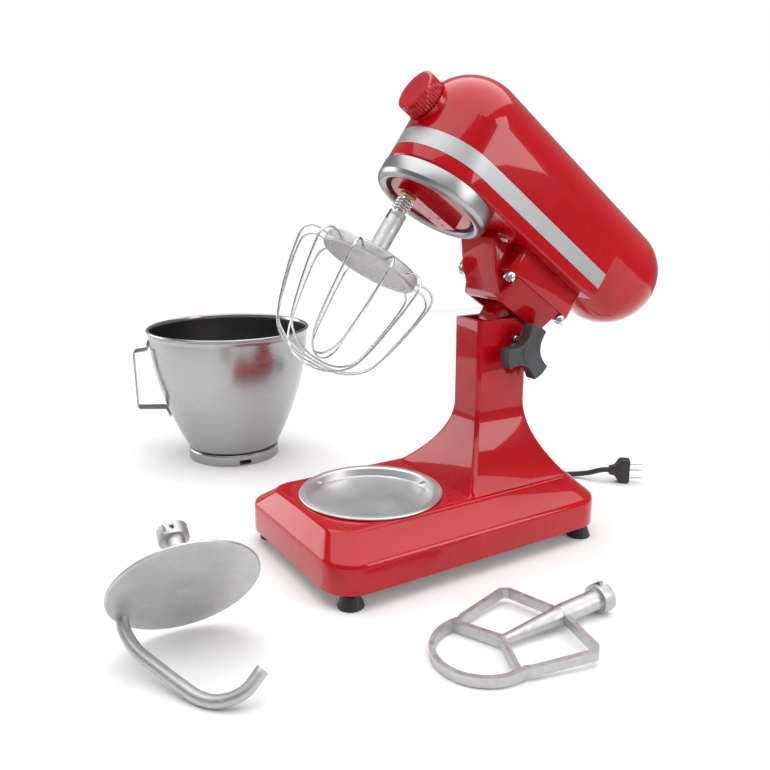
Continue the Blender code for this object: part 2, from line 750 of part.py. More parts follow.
def knob_axis(distance):
    """A point on the speed knob's axis, at a distance outwards from its boss."""
    return Vector((0, -HEAD_RADIUS - KNOB_BOSS - distance, SPEED_KNOB_Z))


def speed_knob():
    r = SPEED_KNOB_RADIUS
    end = SPEED_KNOB_LENGTH
    profile = [
        (0, -14),
        (SPINDLE_RADIUS, -14),
        (SPINDLE_RADIUS, GAP),
        (r, GAP),
        (r - 0.7, end - 1),
        (r - 1.7, end),
        (0, end),
    ]
    lathe("speed_knob", profile, knob_axis(0), (0, -1, 0), "speed_knob_axis", RED, 30)


def bezel_ring():
    outer = HEAD_RADIUS + 1
    inner = RING_OUTER + GAP
    top = CASE_BOTTOM - GAP
    low = top - BEZEL_HEIGHT
    profile = [
        (inner, low + 3),
        (inner + 2, low + 1),
        (outer - 6, low),
        (outer - 2, low + 2),
        (outer, low + 6),
        (outer, top),
        (inner, top),
    ]
    lathe("bezel_ring", profile, (0, 0, 0), (0, 0, 1), "head", STEEL, 44)


def neck_screw_places():
    side = NECK_HALF_WIDTH - NECK_SCREW_INSET
    front, rear = NECK_FRONT + 7, NECK_BACK - 7
    return {
        "front_right": (side, front),
        "front_left": (-side, front),
        "rear_right": (side, rear),
        "rear_left": (-side, rear),
    }


def neck_bracket():
    """The hooded bracket under the head, whose knuckle turns on the hinge bolt."""
    top = CASE_BOTTOM - GAP
    low = top - NECK_FLANGE
    half = NECK_HALF_WIDTH
    outline = rounded_rectangle(-half, half, NECK_FRONT, NECK_BACK, 6, low, 3)
    neck = loft("neck_bracket", [outline, [(x, y, top) for x, y, _ in outline]], "head", RED)
    cheek = COLUMN_WIDTH / 2 + HOOD_WALL
    rim = COLUMN_TOP - 6
    front = NECK_FRONT + 15
    back = NECK_BACK - 15
    shoulder = half - 1
    narrow = [(-cheek, front, rim), (cheek, front, rim), (cheek, back, rim), (-cheek, back, rim)]
    wide = [(-shoulder, front), (shoulder, front), (shoulder, back), (-shoulder, back)]
    join(neck, loft("join_skirt_block", [narrow, [(x, y, low + 2) for x, y in wide]], "head"))
    nose = [(front - 44, top), (front - 43, top - 9), (front - 21, low - 4), (front - 6, rim + 11)]
    nose += [(front + 6, rim + 1), (front + 6, top)]
    join(neck, side_prism("join_nose", nose, -cheek, cheek, "head"))
    reach = math.hypot(THROAT - HINGE_Y, COLUMN_TOP - HINGE_Z) + 1.5
    ceiling = COLUMN_TOP + 3
    turn = 180 - math.degrees(math.asin((ceiling - HINGE_Z) / reach))
    hollow = [(back + PAST, HINGE_Z), (back + PAST, ceiling)]
    hollow += arc((HINGE_Y, HINGE_Z), reach, turn, 185, 8)
    inside = COLUMN_WIDTH / 2 + CLEARANCE
    cut(neck, side_prism("cut_hood", hollow, -inside, inside, "head"))
    knuckle = arc((HINGE_Y, HINGE_Z), KNUCKLE_RADIUS, 180, 360, 12)
    knuckle += [(HINGE_Y + KNUCKLE_RADIUS - 6, ceiling + 2), (HINGE_Y - 34, ceiling + 2)]
    knuckle += [(HINGE_Y - 42, HINGE_Z + 28), (HINGE_Y - 42, HINGE_Z + 12)]
    knuckle.append((HINGE_Y - 34, HINGE_Z + 9))
    join(neck, side_prism("join_knuckle", knuckle, -KNUCKLE_WIDTH / 2, KNUCKLE_WIDTH / 2, "head"))
    ends = [(x, HINGE_Y, HINGE_Z) for x in (-KNUCKLE_WIDTH / 2 - PAST, KNUCKLE_WIDTH / 2 + PAST)]
    cut(neck, cylinder("cut_knuckle_bolt", HINGE_BOLT_RADIUS + GAP, *ends, "head", steps=24))
    for name, (x, y) in neck_screw_places().items():
        ends = ((x, y, low - PAST), (x, y, top + PAST))
        cut(neck, cylinder(f"cut_neck_{name}", NECK_SCREW_RADIUS + GAP, *ends, "head", steps=16))


def neck_screws():
    low = CASE_BOTTOM - GAP - NECK_FLANGE - GAP
    r = NECK_SCREW_RADIUS
    end = NECK_FLANGE + 8
    profile = [(0, -4), (r - 0.8, -4), (r - 0.8, -8.5), (r + 1.8, -8.5), (r + 2.5, -7.8)]
    profile += [(r + 2.5, 0), (r, 0), (r, end), (0, end)]
    for name, (x, y) in neck_screw_places().items():
        lathe(f"neck_screw_{name}", profile, (x, y, low), (0, 0, 1), "head", "bright_steel", 16)


# Drive


def gear_profile(teeth, inside, turn=0):
    """Straight-flanked teeth in the XY plane about the origin, thinned for backlash."""
    pitch = teeth * GEAR_MODULE / 2
    inward = -1 if inside else 1
    tip = pitch + inward * 0.85 * GEAR_MODULE
    root = pitch - inward * 1.15 * GEAR_MODULE
    points = []
    for i in range(teeth):
        for share, radius in ((-0.29, root), (-0.13, tip), (0.13, tip), (0.29, root)):
            angle = 2 * math.pi * (i + share + turn) / teeth
            points.append((radius * math.cos(angle), radius * math.sin(angle)))
    return points


def ring_gear():
    top = CASE_BOTTOM - GAP
    ends = ((0, 0, GEAR_LOW), (0, 0, top))
    body = cylinder("ring_gear", RING_OUTER, *ends, "head", "gear_steel", 44)
    teeth = gear_profile(RING_TEETH, True)
    loops = [[(x, y, z) for x, y in teeth] for z in (GEAR_LOW - PAST, top + PAST)]
    cut(body, loft("cut_ring_teeth", loops, "head"))


def carrier_parts():
    """What turns with the main shaft: the red planet carrier, the shaft and its worm wheel."""
    top = CARRIER_LOW + CARRIER_THICKNESS
    radius = RING_OUTER + GAP - 4
    disc = [(0, CARRIER_LOW), (radius - 1, CARRIER_LOW), (radius, CARRIER_LOW + 1), (radius, top), (0, top)]
    body = lathe("planet_carrier", disc, (0, 0, 0), (0, 0, 1), "carrier", RED, 40)
    nose = CARRIER_LOW - CARRIER_BOSS
    wide = CARRIER_BOSS_RADIUS
    far = (wide, radius - 14, CARRIER_LOW + 2)
    join(body, block("join_boss", (-wide, -PLANET_OFFSET - 2, nose), far, "carrier"))
    ends = ((0, -PLANET_OFFSET, nose), (0, -PLANET_OFFSET, CARRIER_LOW + 2))
    join(body, cylinder("join_boss_end", wide, *ends, "carrier", steps=24))
    ends = ((0, -PLANET_OFFSET, nose - PAST), (0, -PLANET_OFFSET, top + PAST))
    cut(body, cylinder("cut_tool_shaft", TOOL_SHAFT_RADIUS + GAP, *ends, "carrier", steps=24))
    r = MAIN_SHAFT_RADIUS
    ends = ((0, 0, top + GAP), (0, 0, WORM_Z + 12))
    cylinder("main_shaft", r, *ends, "carrier", "bright_steel", 24)
    wheel = (0, 0, WORM_Z - 5)
    ring("worm_wheel", r + GAP, WORM_WHEEL_RADIUS, wheel, (0, 0, 1), 10, "carrier", "brass", 32)


def bearings():
    r = MAIN_SHAFT_RADIUS + GAP
    up = (0, 0, 1)
    ring("lower_bearing", r, BEARING_RADIUS, (0, 0, CASE_BOTTOM + 1), up, 10, "head", "gear_steel", 28)
    low = BAND_TOP + 2
    high = low + BRIDGE_THICKNESS
    bore = BRIDGE_BEARING_RADIUS
    ring("upper_bearing", r, bore, (0, 0, low), up, BRIDGE_THICKNESS, "head", "gear_steel", 28)
    half = HEAD_INSIDE - 6
    plate = block("bearing_bridge", (-half, -20, low), (half, 20, high), "head", "cast_aluminium")
    ends = ((0, 0, low - PAST), (0, 0, high + PAST))
    cut(plate, cylinder("cut_bridge", bore + GAP, *ends, "head", steps=28))


def planet_turn():
    """The share of a tooth by which the planet is turned, to mesh at the ring's -Y side."""
    ring_tooth_at_mesh = (RING_TEETH * 0.75) % 1
    planet_tooth_at_mesh = (PLANET_TEETH * 0.75) % 1
    return (planet_tooth_at_mesh - ring_tooth_at_mesh + 0.5) % 1


def tool_shaft_parts():
    """What turns with the tool shaft: its planet gear, thrust collar and spring."""
    centre = (0, -PLANET_OFFSET, 0)
    r = TOOL_SHAFT_RADIUS
    top = GEAR_LOW + GEAR_WIDTH - 1
    low = SLEEVE_TOP - SOCKET_DEPTH + 1
    ends = ((0, -PLANET_OFFSET, low), (0, -PLANET_OFFSET, top))
    cylinder("tool_shaft", r, *ends, "tool", "bright_steel", 20)
    teeth = gear_profile(PLANET_TEETH, False, planet_turn())
    loops = []
    for z in (GEAR_LOW + GAP, GEAR_LOW + GEAR_WIDTH - 1.2):
        loops.append([(x, y - PLANET_OFFSET, z) for x, y in teeth])
    gear = loft("planet_gear", loops, "tool", "gear_steel")
    ends = ((0, -PLANET_OFFSET, GEAR_LOW - PAST), (0, -PLANET_OFFSET, top + PAST))
    cut(gear, cylinder("cut_planet_bore", r + GAP, *ends, "tool", steps=20))
    thrust = CARRIER_LOW - CARRIER_BOSS - 0.5
    collar = [(r + GAP, thrust - 2.5), (r + 3, thrust - 2.5), (r + 3, thrust), (r + GAP, thrust)]
    lathe("shaft_collar", collar, centre, (0, 0, 1), "tool", "brass", 20)
    high = thrust - 4
    start = SLEEVE_TOP + 3
    turns, steps = 2, 12
    points = []
    for i in range(turns * steps + 1):
        spot = heading(360 * i / steps) * (r + 2)
        rise = start + (high - start) * i / (turns * steps)
        points.append((spot.x, spot.y - PLANET_OFFSET, rise))
    tube("tool_spring", points, 0.9, "tool", "bright_steel", 1)


def motor_parts():
    """The motor lies along the head: its worm drives the worm wheel on the main shaft."""
    x, z = MOTOR_X, WORM_Z
    end = MOTOR_START + MOTOR_LENGTH
    start = (x, MOTOR_START, z)
    along = (0, 1, 0)
    r = MOTOR_SHAFT_RADIUS
    core = ARMATURE_RADIUS
    inner = core + AIR_GAP
    ring("motor_stator", inner, MOTOR_RADIUS, start, along, MOTOR_LENGTH, "head", "gear_steel")
    worm_back = MOTOR_START - 75
    shaft = [(0, worm_back), (r, worm_back), (r, MOTOR_START + 6), (core, MOTOR_START + 6)]
    shaft += [(core, end - 6), (r, end - 6), (r, end + 22), (0, end + 22)]
    lathe("motor_armature", shaft, (x, 0, z), along, "motor", "copper", 24)
    ends = ((x, -20, z), (x, worm_back - GAP, z))
    cylinder("worm", WORM_RADIUS, *ends, "motor", "gear_steel", 20)
    fan = MOTOR_RADIUS - 10
    ring("cooling_fan", r + GAP, fan, (x, end + 8, z), along, 8, "motor", "black_plastic", 24)
    ring("motor_bearing", r + GAP, 11, (x, MOTOR_START - 12, z), along, 8, "head", "gear_steel", 24)
    low = (MOTOR_X - MOTOR_RADIUS - 8, MOTOR_START, HEAD_AXIS_Z - 22)
    high = (low[0] + 2, MOTOR_START + 80, HEAD_AXIS_Z + 22)
    block("speed_board", low, high, "head", "circuit_green")


# Tools


def whisk():
    centre = Vector((0, -PLANET_OFFSET, 0))
    low = WHISK_HUB_Z - WHISK_HUB_HEIGHT / 2
    top = WHISK_HUB_Z + WHISK_HUB_HEIGHT / 2
    floor = SLEEVE_TOP - SOCKET_DEPTH
    hub = WHISK_HUB_RADIUS
    profile = [
        (0, low),
        (hub - 2, low),
        (hub, low + 2),
        (hub, top - 2),
        (hub - 2, top),
        (SLEEVE_RADIUS, top),
        (SLEEVE_RADIUS, SLEEVE_TOP),
        (SLEEVE_BORE, SLEEVE_TOP),
        (SLEEVE_BORE, floor),
        (0, floor),
    ]
    lathe("whisk_hub", profile, centre, (0, 0, 1), "whisk", "cast_aluminium", 40)
    start = hub + GAP
    wide = WHISK_SHOULDER
    for k in range(WHISK_LOOPS):
        out = heading(180 * (k + 0.5) / WHISK_LOOPS)
        bottom = WHISK_BOTTOM + k * (2 * WHISK_WIRE + 0.5)
        half = [(start, WHISK_HUB_Z), (start + 12, WHISK_HUB_Z + 1), (wide - 4, WHISK_HUB_Z - 3)]
        half += [(wide, WHISK_HUB_Z - 14), (wide - 6, WHISK_HUB_Z - 50)]
        half += [(wide * 0.74, bottom + 26), (wide * 0.53, bottom + 9), (wide * 0.26, bottom + 1.5)]
        route = [centre + out * r + Vector((0, 0, z)) for r, z in half]
        route.append(centre + Vector((0, 0, bottom)))
        route += [centre - out * r + Vector((0, 0, z)) for r, z in reversed(half)]
        path = smooth_path(route, 12)
        tube(f"whisk_wire_{k + 1}", path, WHISK_WIRE, "whisk", "bright_steel", 1)


def bowl_wall(z):
    """The bowl's outer radius at a height, from its floor to its rim."""
    floor = BOWL_FOOT_HEIGHT + 2
    share = min(max((z - floor) / (BOWL_HEIGHT - 6 - floor), 0), 1)
    spread = BOWL_RADIUS - BOWL_RIM_OVERHANG - BOWL_BASE_RADIUS
    return BOWL_BASE_RADIUS + spread * (1 - (1 - share) ** 1.9)


def bowl():
    """A deep steel bowl with a rolled rim, on a foot ring with bayonet notches."""
    centre = (*BOWL_PLACE, 0)
    floor = BOWL_FOOT_HEIGHT + 2
    rim = BOWL_RADIUS
    height = BOWL_HEIGHT
    levels = [floor + share * (height - 6 - floor) for share in (0.02, 0.1, 0.22, 0.36, 0.52, 0.72, 1)]
    outer = [(0, floor), (BOWL_BASE_RADIUS - 8, floor)]
    outer += [(bowl_wall(z), z) for z in levels]
    inner = [(r - SHEET, z + SHEET * (height - z) / height) for r, z in outer[::-1]]
    inner[-1] = (0, floor + SHEET)
    roll = [(rim - 2.4, height - 4), (rim, height - 3.4), (rim, height - 0.6)]
    roll += [(rim - 1.5, height), (rim - 4, height - 1.5)]
    lathe("bowl", outer + roll + inner, centre, (0, 0, 1), "bowl_pivot", STEEL, 44)
    r = BOWL_FOOT_RADIUS
    top = BOWL_FOOT_HEIGHT
    seat = BOWL_BASE_RADIUS - 10
    profile = [(r - SHEET, 0), (r, 0), (r, top), (r - 3, top + SHEET), (seat, top + SHEET)]
    profile += [(seat, top), (r - SHEET, top - 1)]
    foot = lathe("bowl_foot", profile, centre, (0, 0, 1), "bowl_pivot", STEEL, 44)
    for notch in range(BAYONETS):
        out = heading(NOTCH_HEADING + 360 * notch / BAYONETS)
        across = Vector((-out.y, out.x, 0))
        middle = Vector(centre) + out * r
        cutters = (
            ("entry", 0, NOTCH_WIDTH, -2, LUG_HEIGHT),
            ("run", NOTCH_RUN / 2, NOTCH_WIDTH + NOTCH_RUN, LUG_HEIGHT - 3, LUG_HEIGHT + 3),
        )
        for kind, shift, width, low, high in cutters:
            corners = []
            for depth, side in ((-5, -1), (5, -1), (5, 1), (-5, 1)):
                corners.append(middle + out * depth + across * (shift + side * width / 2))
            loops = [[(p.x, p.y, z) for p in corners] for z in (low, high)]
            cut(foot, loft(f"cut_notch_{kind}_{notch + 1}", loops, "bowl_pivot"))


def bowl_handle():
    """A bent strap on the bowl's side, with its ends lying against the wall."""
    out = heading(HANDLE_HEADING)
    across = Vector((-out.y, out.x, 0))
    thick = 1.1
    near = thick + GAP
    reach = BOWL_RADIUS + HANDLE_REACH
    top, low = HANDLE_TOP, HANDLE_LOW
    line = [(bowl_wall(z) + near + 0.5, z) for z in (top + 13, top + 2)]
    line += [(reach - 6, top), (reach, top - 6), (reach - 3, low + 7), (reach - 9, low)]
    line += [(bowl_wall(z) + near + 0.8, z) for z in (low - 1, low - 14)]
    outline = thick_line(line, thick)
    place = Vector((*BOWL_PLACE, 0))
    loops = []
    for side in (HANDLE_WIDTH / 2, -HANDLE_WIDTH / 2):
        edge = place + across * side
        loops.append([edge + out * p.x + Vector((0, 0, p.y)) for p in outline])
    loft("bowl_handle", loops, "bowl_pivot", STEEL)


def thick_line(line, half):
    """The anticlockwise outline of a flat line of points, thickened to both sides."""
    left, right = [], []
    for i, spot in enumerate(line):
        before = Vector(line[max(i - 1, 0)])
        after = Vector(line[min(i + 1, len(line) - 1)])
        run = (after - before).normalized()
        normal = Vector((-run.y, run.x))
        left.append(Vector(spot) + normal * half)
        right.append(Vector(spot) - normal * half)
    return right + left[::-1]


def sleeve_profile(length, foot):
    """A tool's socket with its collar: from a foot up to a length, with a blind bore."""
    floor = length - SOCKET_DEPTH + 6
    return [
        (0, foot),
        (SLEEVE_RADIUS, foot),
        (SLEEVE_RADIUS, length - 13),
        (TOOL_COLLAR_RADIUS, length - 13),
        (TOOL_COLLAR_RADIUS, length),
        (SLEEVE_BORE, length),
        (SLEEVE_BORE, floor),
        (0, floor),
    ]


def dough_hook():
    """Shield disc, socket and bent rod, modelled about its own axis with +Z to the socket."""
    r = HOOK_DISC_RADIUS
    up = (0, 0, 1)
    on = "hook_pivot"
    disc = [(0, -2), (r - 1, -2), (r, 0), (r - 1, 2), (0, 2)]
    hook = lathe("dough_hook", disc, (0, 0, 0), up, on, "cast_aluminium", 40)
    join(hook, lathe("join_hook_sleeve", sleeve_profile(60, -1), (0, 0, 0), up, on, None, 24))
    route = [(7 - r, 0, 1), (7 - r, 0, -13), (14 - r, 0, -34), (28 - r, 0, -56), (46 - r, 0, -82)]
    route += [(57 - r, 0, -96), (72 - r, 0, -106), (92 - r, 0, -108), (111 - r, 0, -98)]
    path = smooth_path(route, 10)
    side = Vector((0, 1, 0))
    loops = []
    for i, spot in enumerate(path):
        run = (path[min(i + 1, len(path) - 1)] - path[max(i - 1, 0)]).normalized()
        up = side.cross(run)
        circle = []
        for k in range(12):
            spoke = heading(30 * k)
            circle.append(spot + (side * spoke.x - up * spoke.y) * HOOK_ROD_RADIUS)
        loops.append(circle)
    join(hook, loft("join_hook_rod", loops, on))


def strip(name, line, on):
    """A bar of the beater's width and thickness along a flat line of points."""
    outline = thick_line(line, BEATER_BAR / 2)
    half = BEATER_THICKNESS / 2
    return loft(name, [[(p.x, p.y, z) for p in outline] for z in (-half, half)], on)


def flat_beater():
    """Cast beater lying flat, with its socket towards +Y."""
    on = "beater_pivot"
    neck = (0, 66, 0)
    profile = sleeve_profile(56, -4)
    beater = lathe("flat_beater", profile, neck, (0, 1, 0), on, "cast_aluminium", 24)
    join(beater, cylinder("join_beater_shaft", 6.5, (0, -8, 0), (0, 64, 0), on, steps=16))
    frame = [neck[:2], (-56, 52), (-61, 46), (-47, -12)]
    frame += arc((0, -24), 45, 170, 370, 14)
    frame += [(47, -12), (61, 46), (56, 52), neck[:2]]
    join(beater, strip("join_frame", frame, on))
    for name, side in (("left", -1), ("right", 1)):
        join(beater, strip(f"join_arm_{name}", [(0, -4), (side * 46, -24)], on))


def place_pivot(name, place, across, axis):
    """An empty under the stand whose X is near one direction and whose Z is along another."""
    empty = pivot(name, (0, 0, 0), "stand")
    axis = Vector(axis).normalized()
    across = Vector(across)
    across = (across - axis * across.dot(axis)).normalized()
    turn = Matrix((across, axis.cross(across), axis)).transposed().to_4x4()
    empty.matrix_world = Matrix.Translation(Vector(place) * MM) @ turn


# Supply cord: a gland, a lead to the coil, the coil, and a tail to the plug


def cord_gland():
    """The tapered strain relief where the cord leaves the base."""
    bore = CORD_RADIUS + GAP
    r = GLAND_RADIUS
    profile = [(bore, -8), (r, -8), (r, GAP), (r + 2.5, GAP), (r + 2.5, 3), (r, 4)]
    profile += [(bore + 1, GLAND_LENGTH), (bore, GLAND_LENGTH)]
    lathe("cord_gland", profile, gland_place(), (0, 1, 0), "stand", "black_rubber", 20)


def cord_lead():
    x, z = GLAND_PLACE
    back = BASE_BACK
    route = [(x, back - 6, z), (x, back + 8, z), (x, back + 23, z), (x - 3, back + 37, z - 4.5)]
    route += [(x - 8, back + 50, z - 11), (x - 13, back + 62, z - 15), (x - 16, back + 69, z - 15.8)]
    tube("cord_lead", smooth_path(route, 15), CORD_RADIUS, "stand", "black_rubber")


def cord_coil():
    d = 2 * CORD_RADIUS
    inner, outer = COIL_RADIUS - 1.5 * d, COIL_RADIUS + 1.5 * d
    profile = [(inner, 0), (outer, 0), (outer, 2 * d), (inner, 2 * d)]
    lathe("cord_coil", profile, (*COIL_CENTRE, 0), (0, 0, 1), "stand", "black_rubber", 40)


def cord_tail():
    r = CORD_RADIUS
    entry = PLUG_HEIGHT / 2
    rear = Vector((*PLUG_REAR, entry))
    ahead = heading(PLUG_HEADING)
    route = [(-84, 303, r), (-74, 319, r), (-62, 336, r), (-48, 351, r + 0.8), (-30, 366, r + 5.5)]
    route += [rear - ahead * 14 - Vector((0, 0, 1.5)), rear - ahead * 6, rear - ahead * GAP]
    tube("cord_tail", smooth_path(route, 15), r, "stand", "black_rubber")


def plug_parts():
    """A moulded plug on its edge, with three round pins one above another."""
    along = heading(PLUG_HEADING)
    across = Vector((-along.y, along.x, 0))
    rear = Vector((*PLUG_REAR, PLUG_HEIGHT / 2))
    loops = []
    shape = ((0, 0.36, 0.6), (7, 0.42, 0.72), (12, 0.92, 0.95), (16, 1, 1), (PLUG_LENGTH, 0.97, 1))
    for run, tall, thick in shape:
        high = PLUG_HEIGHT / 2 * tall
        wide = PLUG_THICKNESS / 2 * thick
        spot = rear + along * run
        corners = ((-0.45, -1), (0.45, -1), (1, -0.55), (1, 0.55))
        corners += ((0.45, 1), (-0.45, 1), (-1, 0.55), (-1, -0.55))
        loops.append([spot + across * wide * a + Vector((0, 0, high * b)) for a, b in corners])
    body = loft("plug_body", loops, "stand", "black_rubber")
    face = rear + along * PLUG_LENGTH
    for i in range(3):
        row = i - 1
        offset = 3 if row == 0 else 0
        foot = face - along * PIN_SEAT + across * offset + Vector((0, 0, PIN_SPACING * row))
        tip = face + along * PIN_LENGTH + across * offset + Vector((0, 0, PIN_SPACING * row))
        seat = foot - along * GAP
        cut(body, cylinder(f"cut_pin_{i + 1}", PIN_RADIUS + GAP, seat, tip, "stand", steps=12))
        cylinder(f"plug_pin_{i + 1}", PIN_RADIUS, foot, tip, "stand", "bright_steel", 12)


def build():
    clear_scene()
    pivot("stand", (0, 0, 0))
    hinge = (0, HINGE_Y, HINGE_Z)
    pivot("clamp_turn", hinge, "stand")
    pivot("head", hinge, "stand", (math.radians(-TILT), 0, 0))
    pivot("carrier", (0, 0, CASE_BOTTOM), "head")
    pivot("tool", (0, -PLANET_OFFSET, CASE_BOTTOM), "carrier")
    pivot("whisk", (0, -PLANET_OFFSET, WHISK_HUB_Z), "tool")
    pivot("motor", (MOTOR_X, MOTOR_START, WORM_Z), "head")
    pivot("speed_knob_axis", knob_axis(0), "head")
    pivot("bowl_pivot", (*BOWL_PLACE, 0), "stand")
    place_pivot("hook_pivot", HOOK_PLACE, HOOK_ACROSS, HOOK_AXIS)
    place_pivot("beater_pivot", BEATER_PLACE, (1, 0, 0), BEATER_UP)
    stand_casting()
    base_cover()
    feet()
    bowl_seat()
    hinge_bolt()
    cheek_screw()
    clamp()
    head_case()
    case_screws()
    trim_band()
    head_cover()
    bezel_ring()
    neck_bracket()
    neck_screws()
    ring_gear()
    bearings()
    carrier_parts()
    tool_shaft_parts()
    motor_parts()
    speed_knob()
    whisk()
    bowl()
    bowl_handle()
    dough_hook()
    flat_beater()
    cord_gland()
    cord_lead()
    cord_coil()
    cord_tail()
    plug_parts()
    bpy.data.objects["stand"].location = Vector(SET_SHIFT) * MM


build()
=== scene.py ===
import math

import bmesh
import bpy
from mathutils import Matrix, Vector


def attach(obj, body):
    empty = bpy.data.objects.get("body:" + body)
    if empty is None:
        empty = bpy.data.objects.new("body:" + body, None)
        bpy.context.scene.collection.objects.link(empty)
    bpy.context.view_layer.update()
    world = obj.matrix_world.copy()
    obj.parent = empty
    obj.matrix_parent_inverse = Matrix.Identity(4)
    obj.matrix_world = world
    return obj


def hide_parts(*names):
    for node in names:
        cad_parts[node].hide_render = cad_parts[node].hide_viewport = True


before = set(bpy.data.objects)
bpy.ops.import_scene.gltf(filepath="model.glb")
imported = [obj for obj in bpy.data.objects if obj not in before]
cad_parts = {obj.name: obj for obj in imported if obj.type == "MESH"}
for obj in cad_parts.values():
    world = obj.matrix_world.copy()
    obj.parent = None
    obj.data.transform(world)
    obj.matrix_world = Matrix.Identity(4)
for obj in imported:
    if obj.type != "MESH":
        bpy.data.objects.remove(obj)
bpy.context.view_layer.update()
print("frame loaded:", len(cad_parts), "nodes")

# Sizes are in millimetres about the bowl seat's axis, with the head level, and placed at the end.
millimetre = 0.001
fit = {"gap": 0.3, "clearance": 0.8, "past": 5.0}
setShift = (111.26, -51.38, 0.0)  # from the seat's axis to the middle of the whole set
tilt = {"hingeY": 178.6, "hingeZ": 211.0, "degrees": -35.0}

inMetres = Matrix.Scale(millimetre, 4)
onStand = inMetres @ Matrix.Translation(setShift)
hinge = Vector((0, tilt["hingeY"], tilt["hingeZ"]))
turnHead = Matrix.Rotation(math.radians(tilt["degrees"]), 4, "X")
onHead = onStand @ Matrix.Translation(hinge) @ turnHead @ Matrix.Translation(-hinge)


def lyingPlace(place, across, axis):
    # where a loose tool lies: its own Z along axis and its own X near across
    axis = Vector(axis).normalized()
    across = Vector(across)
    across = (across - axis * across.dot(axis)).normalized()
    turn = Matrix((across, axis.cross(across), axis)).transposed().to_4x4()
    return onStand @ Matrix.Translation(place) @ turn


# Camera

cameraSettings = {
    "place": (0.79976, -0.46338, 0.392),
    "azimuth": 58.0,
    "down": 14.2,
    "lens": 36.87,
    "sensor": 36.0,
}


def makeCamera(c):
    data = bpy.data.cameras.new("camera")
    data.lens = c["lens"]
    data.sensor_width = c["sensor"]
    camera = bpy.data.objects.new("camera", data)
    bpy.context.scene.collection.objects.link(camera)
    a, e = math.radians(c["azimuth"]), math.radians(c["down"])
    look = Vector((-math.sin(a) * math.cos(e), math.cos(a) * math.cos(e), -math.sin(e)))
    camera.location = c["place"]
    camera.rotation_euler = look.to_track_quat("-Z", "Y").to_euler()
    bpy.context.scene.camera = camera


makeCamera(cameraSettings)
print("camera ready")


# Shape tools


def linked(name, mesh):
    obj = bpy.data.objects.new(name, mesh)
    bpy.context.scene.collection.objects.link(obj)
    return obj


def solid(name, points, faces):
    mesh = bpy.data.meshes.new(name)
    mesh.from_pydata([tuple(p) for p in points], [], faces)
    mesh.validate()
    shape = bmesh.new()
    shape.from_mesh(mesh)
    if shape.calc_volume(signed=True) < 0:
        bmesh.ops.reverse_faces(shape, faces=shape.faces)
        shape.to_mesh(mesh)
    shape.free()
    return linked(name, mesh)


def loft(name, loops):
    # a closed body through loops of equal length, with flat caps
    count = len(loops[0])
    points = [p for loop in loops for p in loop]
    faces = [tuple(reversed(range(count)))]
    for row in range(len(loops) - 1):
        for i in range(count):
            j = (i + 1) % count
            low, high = row * count, (row + 1) * count
            faces.append((low + i, low + j, high + j, high + i))
    last = (len(loops) - 1) * count
    faces.append(tuple(range(last, last + count)))
    return solid(name, points, faces)


def spokesOf(axis):
    axis = Vector(axis).normalized()
    helper = Vector((0, 0, 1)) if abs(axis.z) < 0.9 else Vector((0, 1, 0))
    side = helper.cross(axis).normalized()
    return side, axis.cross(side), axis


def lathe(name, profile, centre=(0, 0, 0), axis=(0, 0, 1), steps=96):
    # turns a closed (radius, height) profile, given anticlockwise, about an axis
    side, up, axis = spokesOf(axis)
    centre = Vector(centre)
    points, rings, faces = [], [], []
    for radius, height in profile:
        if radius < 1e-6:
            rings.append([len(points)] * steps)
            points.append(centre + axis * height)
            continue
        rings.append(list(range(len(points), len(points) + steps)))
        for i in range(steps):
            angle = 2 * math.pi * i / steps
            spoke = side * math.cos(angle) + up * math.sin(angle)
            points.append(centre + axis * height + spoke * radius)
    for row, ring in enumerate(rings):
        after = rings[(row + 1) % len(rings)]
        if ring[0] == ring[1] and after[0] == after[1]:
            continue
        for i in range(steps):
            j = (i + 1) % steps
            faces.append(tuple(dict.fromkeys((ring[i], ring[j], after[j], after[i]))))
    return solid(name, points, faces)


def rounded(line, radius, steps=5, closed=False):
    # a line of (a, b) points with its corners turned into arcs
    line = [Vector((p[0], p[1])) for p in line]
    found = []
    for i, spot in enumerate(line):
        if not closed and i in (0, len(line) - 1):
            found.append(spot)
            continue
        before, after = line[i - 1], line[(i + 1) % len(line)]
        back, ahead = before - spot, after - spot
        reach = min(back.length, ahead.length) * 0.49
        opening = back.angle(ahead) if reach > 1e-9 else math.pi
        if opening > math.radians(176) or reach < 1e-6:
            found.append(spot)
            continue
        run = min(radius / math.tan(opening / 2), reach)
        start, end = spot + back.normalized() * run, spot + ahead.normalized() * run
        for k in range(steps + 1):
            t = k / steps
            found.append(start * (1 - t) ** 2 + spot * 2 * t * (1 - t) + end * t * t)
    return found


def turned(name, profile, centre=(0, 0, 0), axis=(0, 0, 1), edge=0.5, steps=96):
    # a lathe body whose corners are eased, apart from those on its axis
    inner = list(profile)
    onAxis = [i for i, p in enumerate(inner) if p[0] < 1e-6]
    if onAxis:
        start = onAxis[-1]
        inner = inner[start:] + inner[:start]
        eased = rounded(inner + [inner[0]], edge, 3)[:-1] if len(onAxis) == 1 else rounded(inner, edge, 3)
    else:
        eased = rounded(inner, edge, 3, closed=True)
    return lathe(name, [(p[0], p[1]) for p in eased], centre, axis, steps)


def rod(name, radius, start, end, steps=48):
    start, end = Vector(start), Vector(end)
    length = (end - start).length
    profile = [(0, 0), (radius, 0), (radius, length), (0, length)]
    return lathe(name, profile, start, end - start, steps)


def block(name, low, high):
    x0, y0, z0 = low
    x1, y1, z1 = high
    bottom = [(x0, y0, z0), (x1, y0, z0), (x1, y1, z0), (x0, y1, z0)]
    return loft(name, [bottom, [(x, y, z1) for x, y, _ in bottom]])


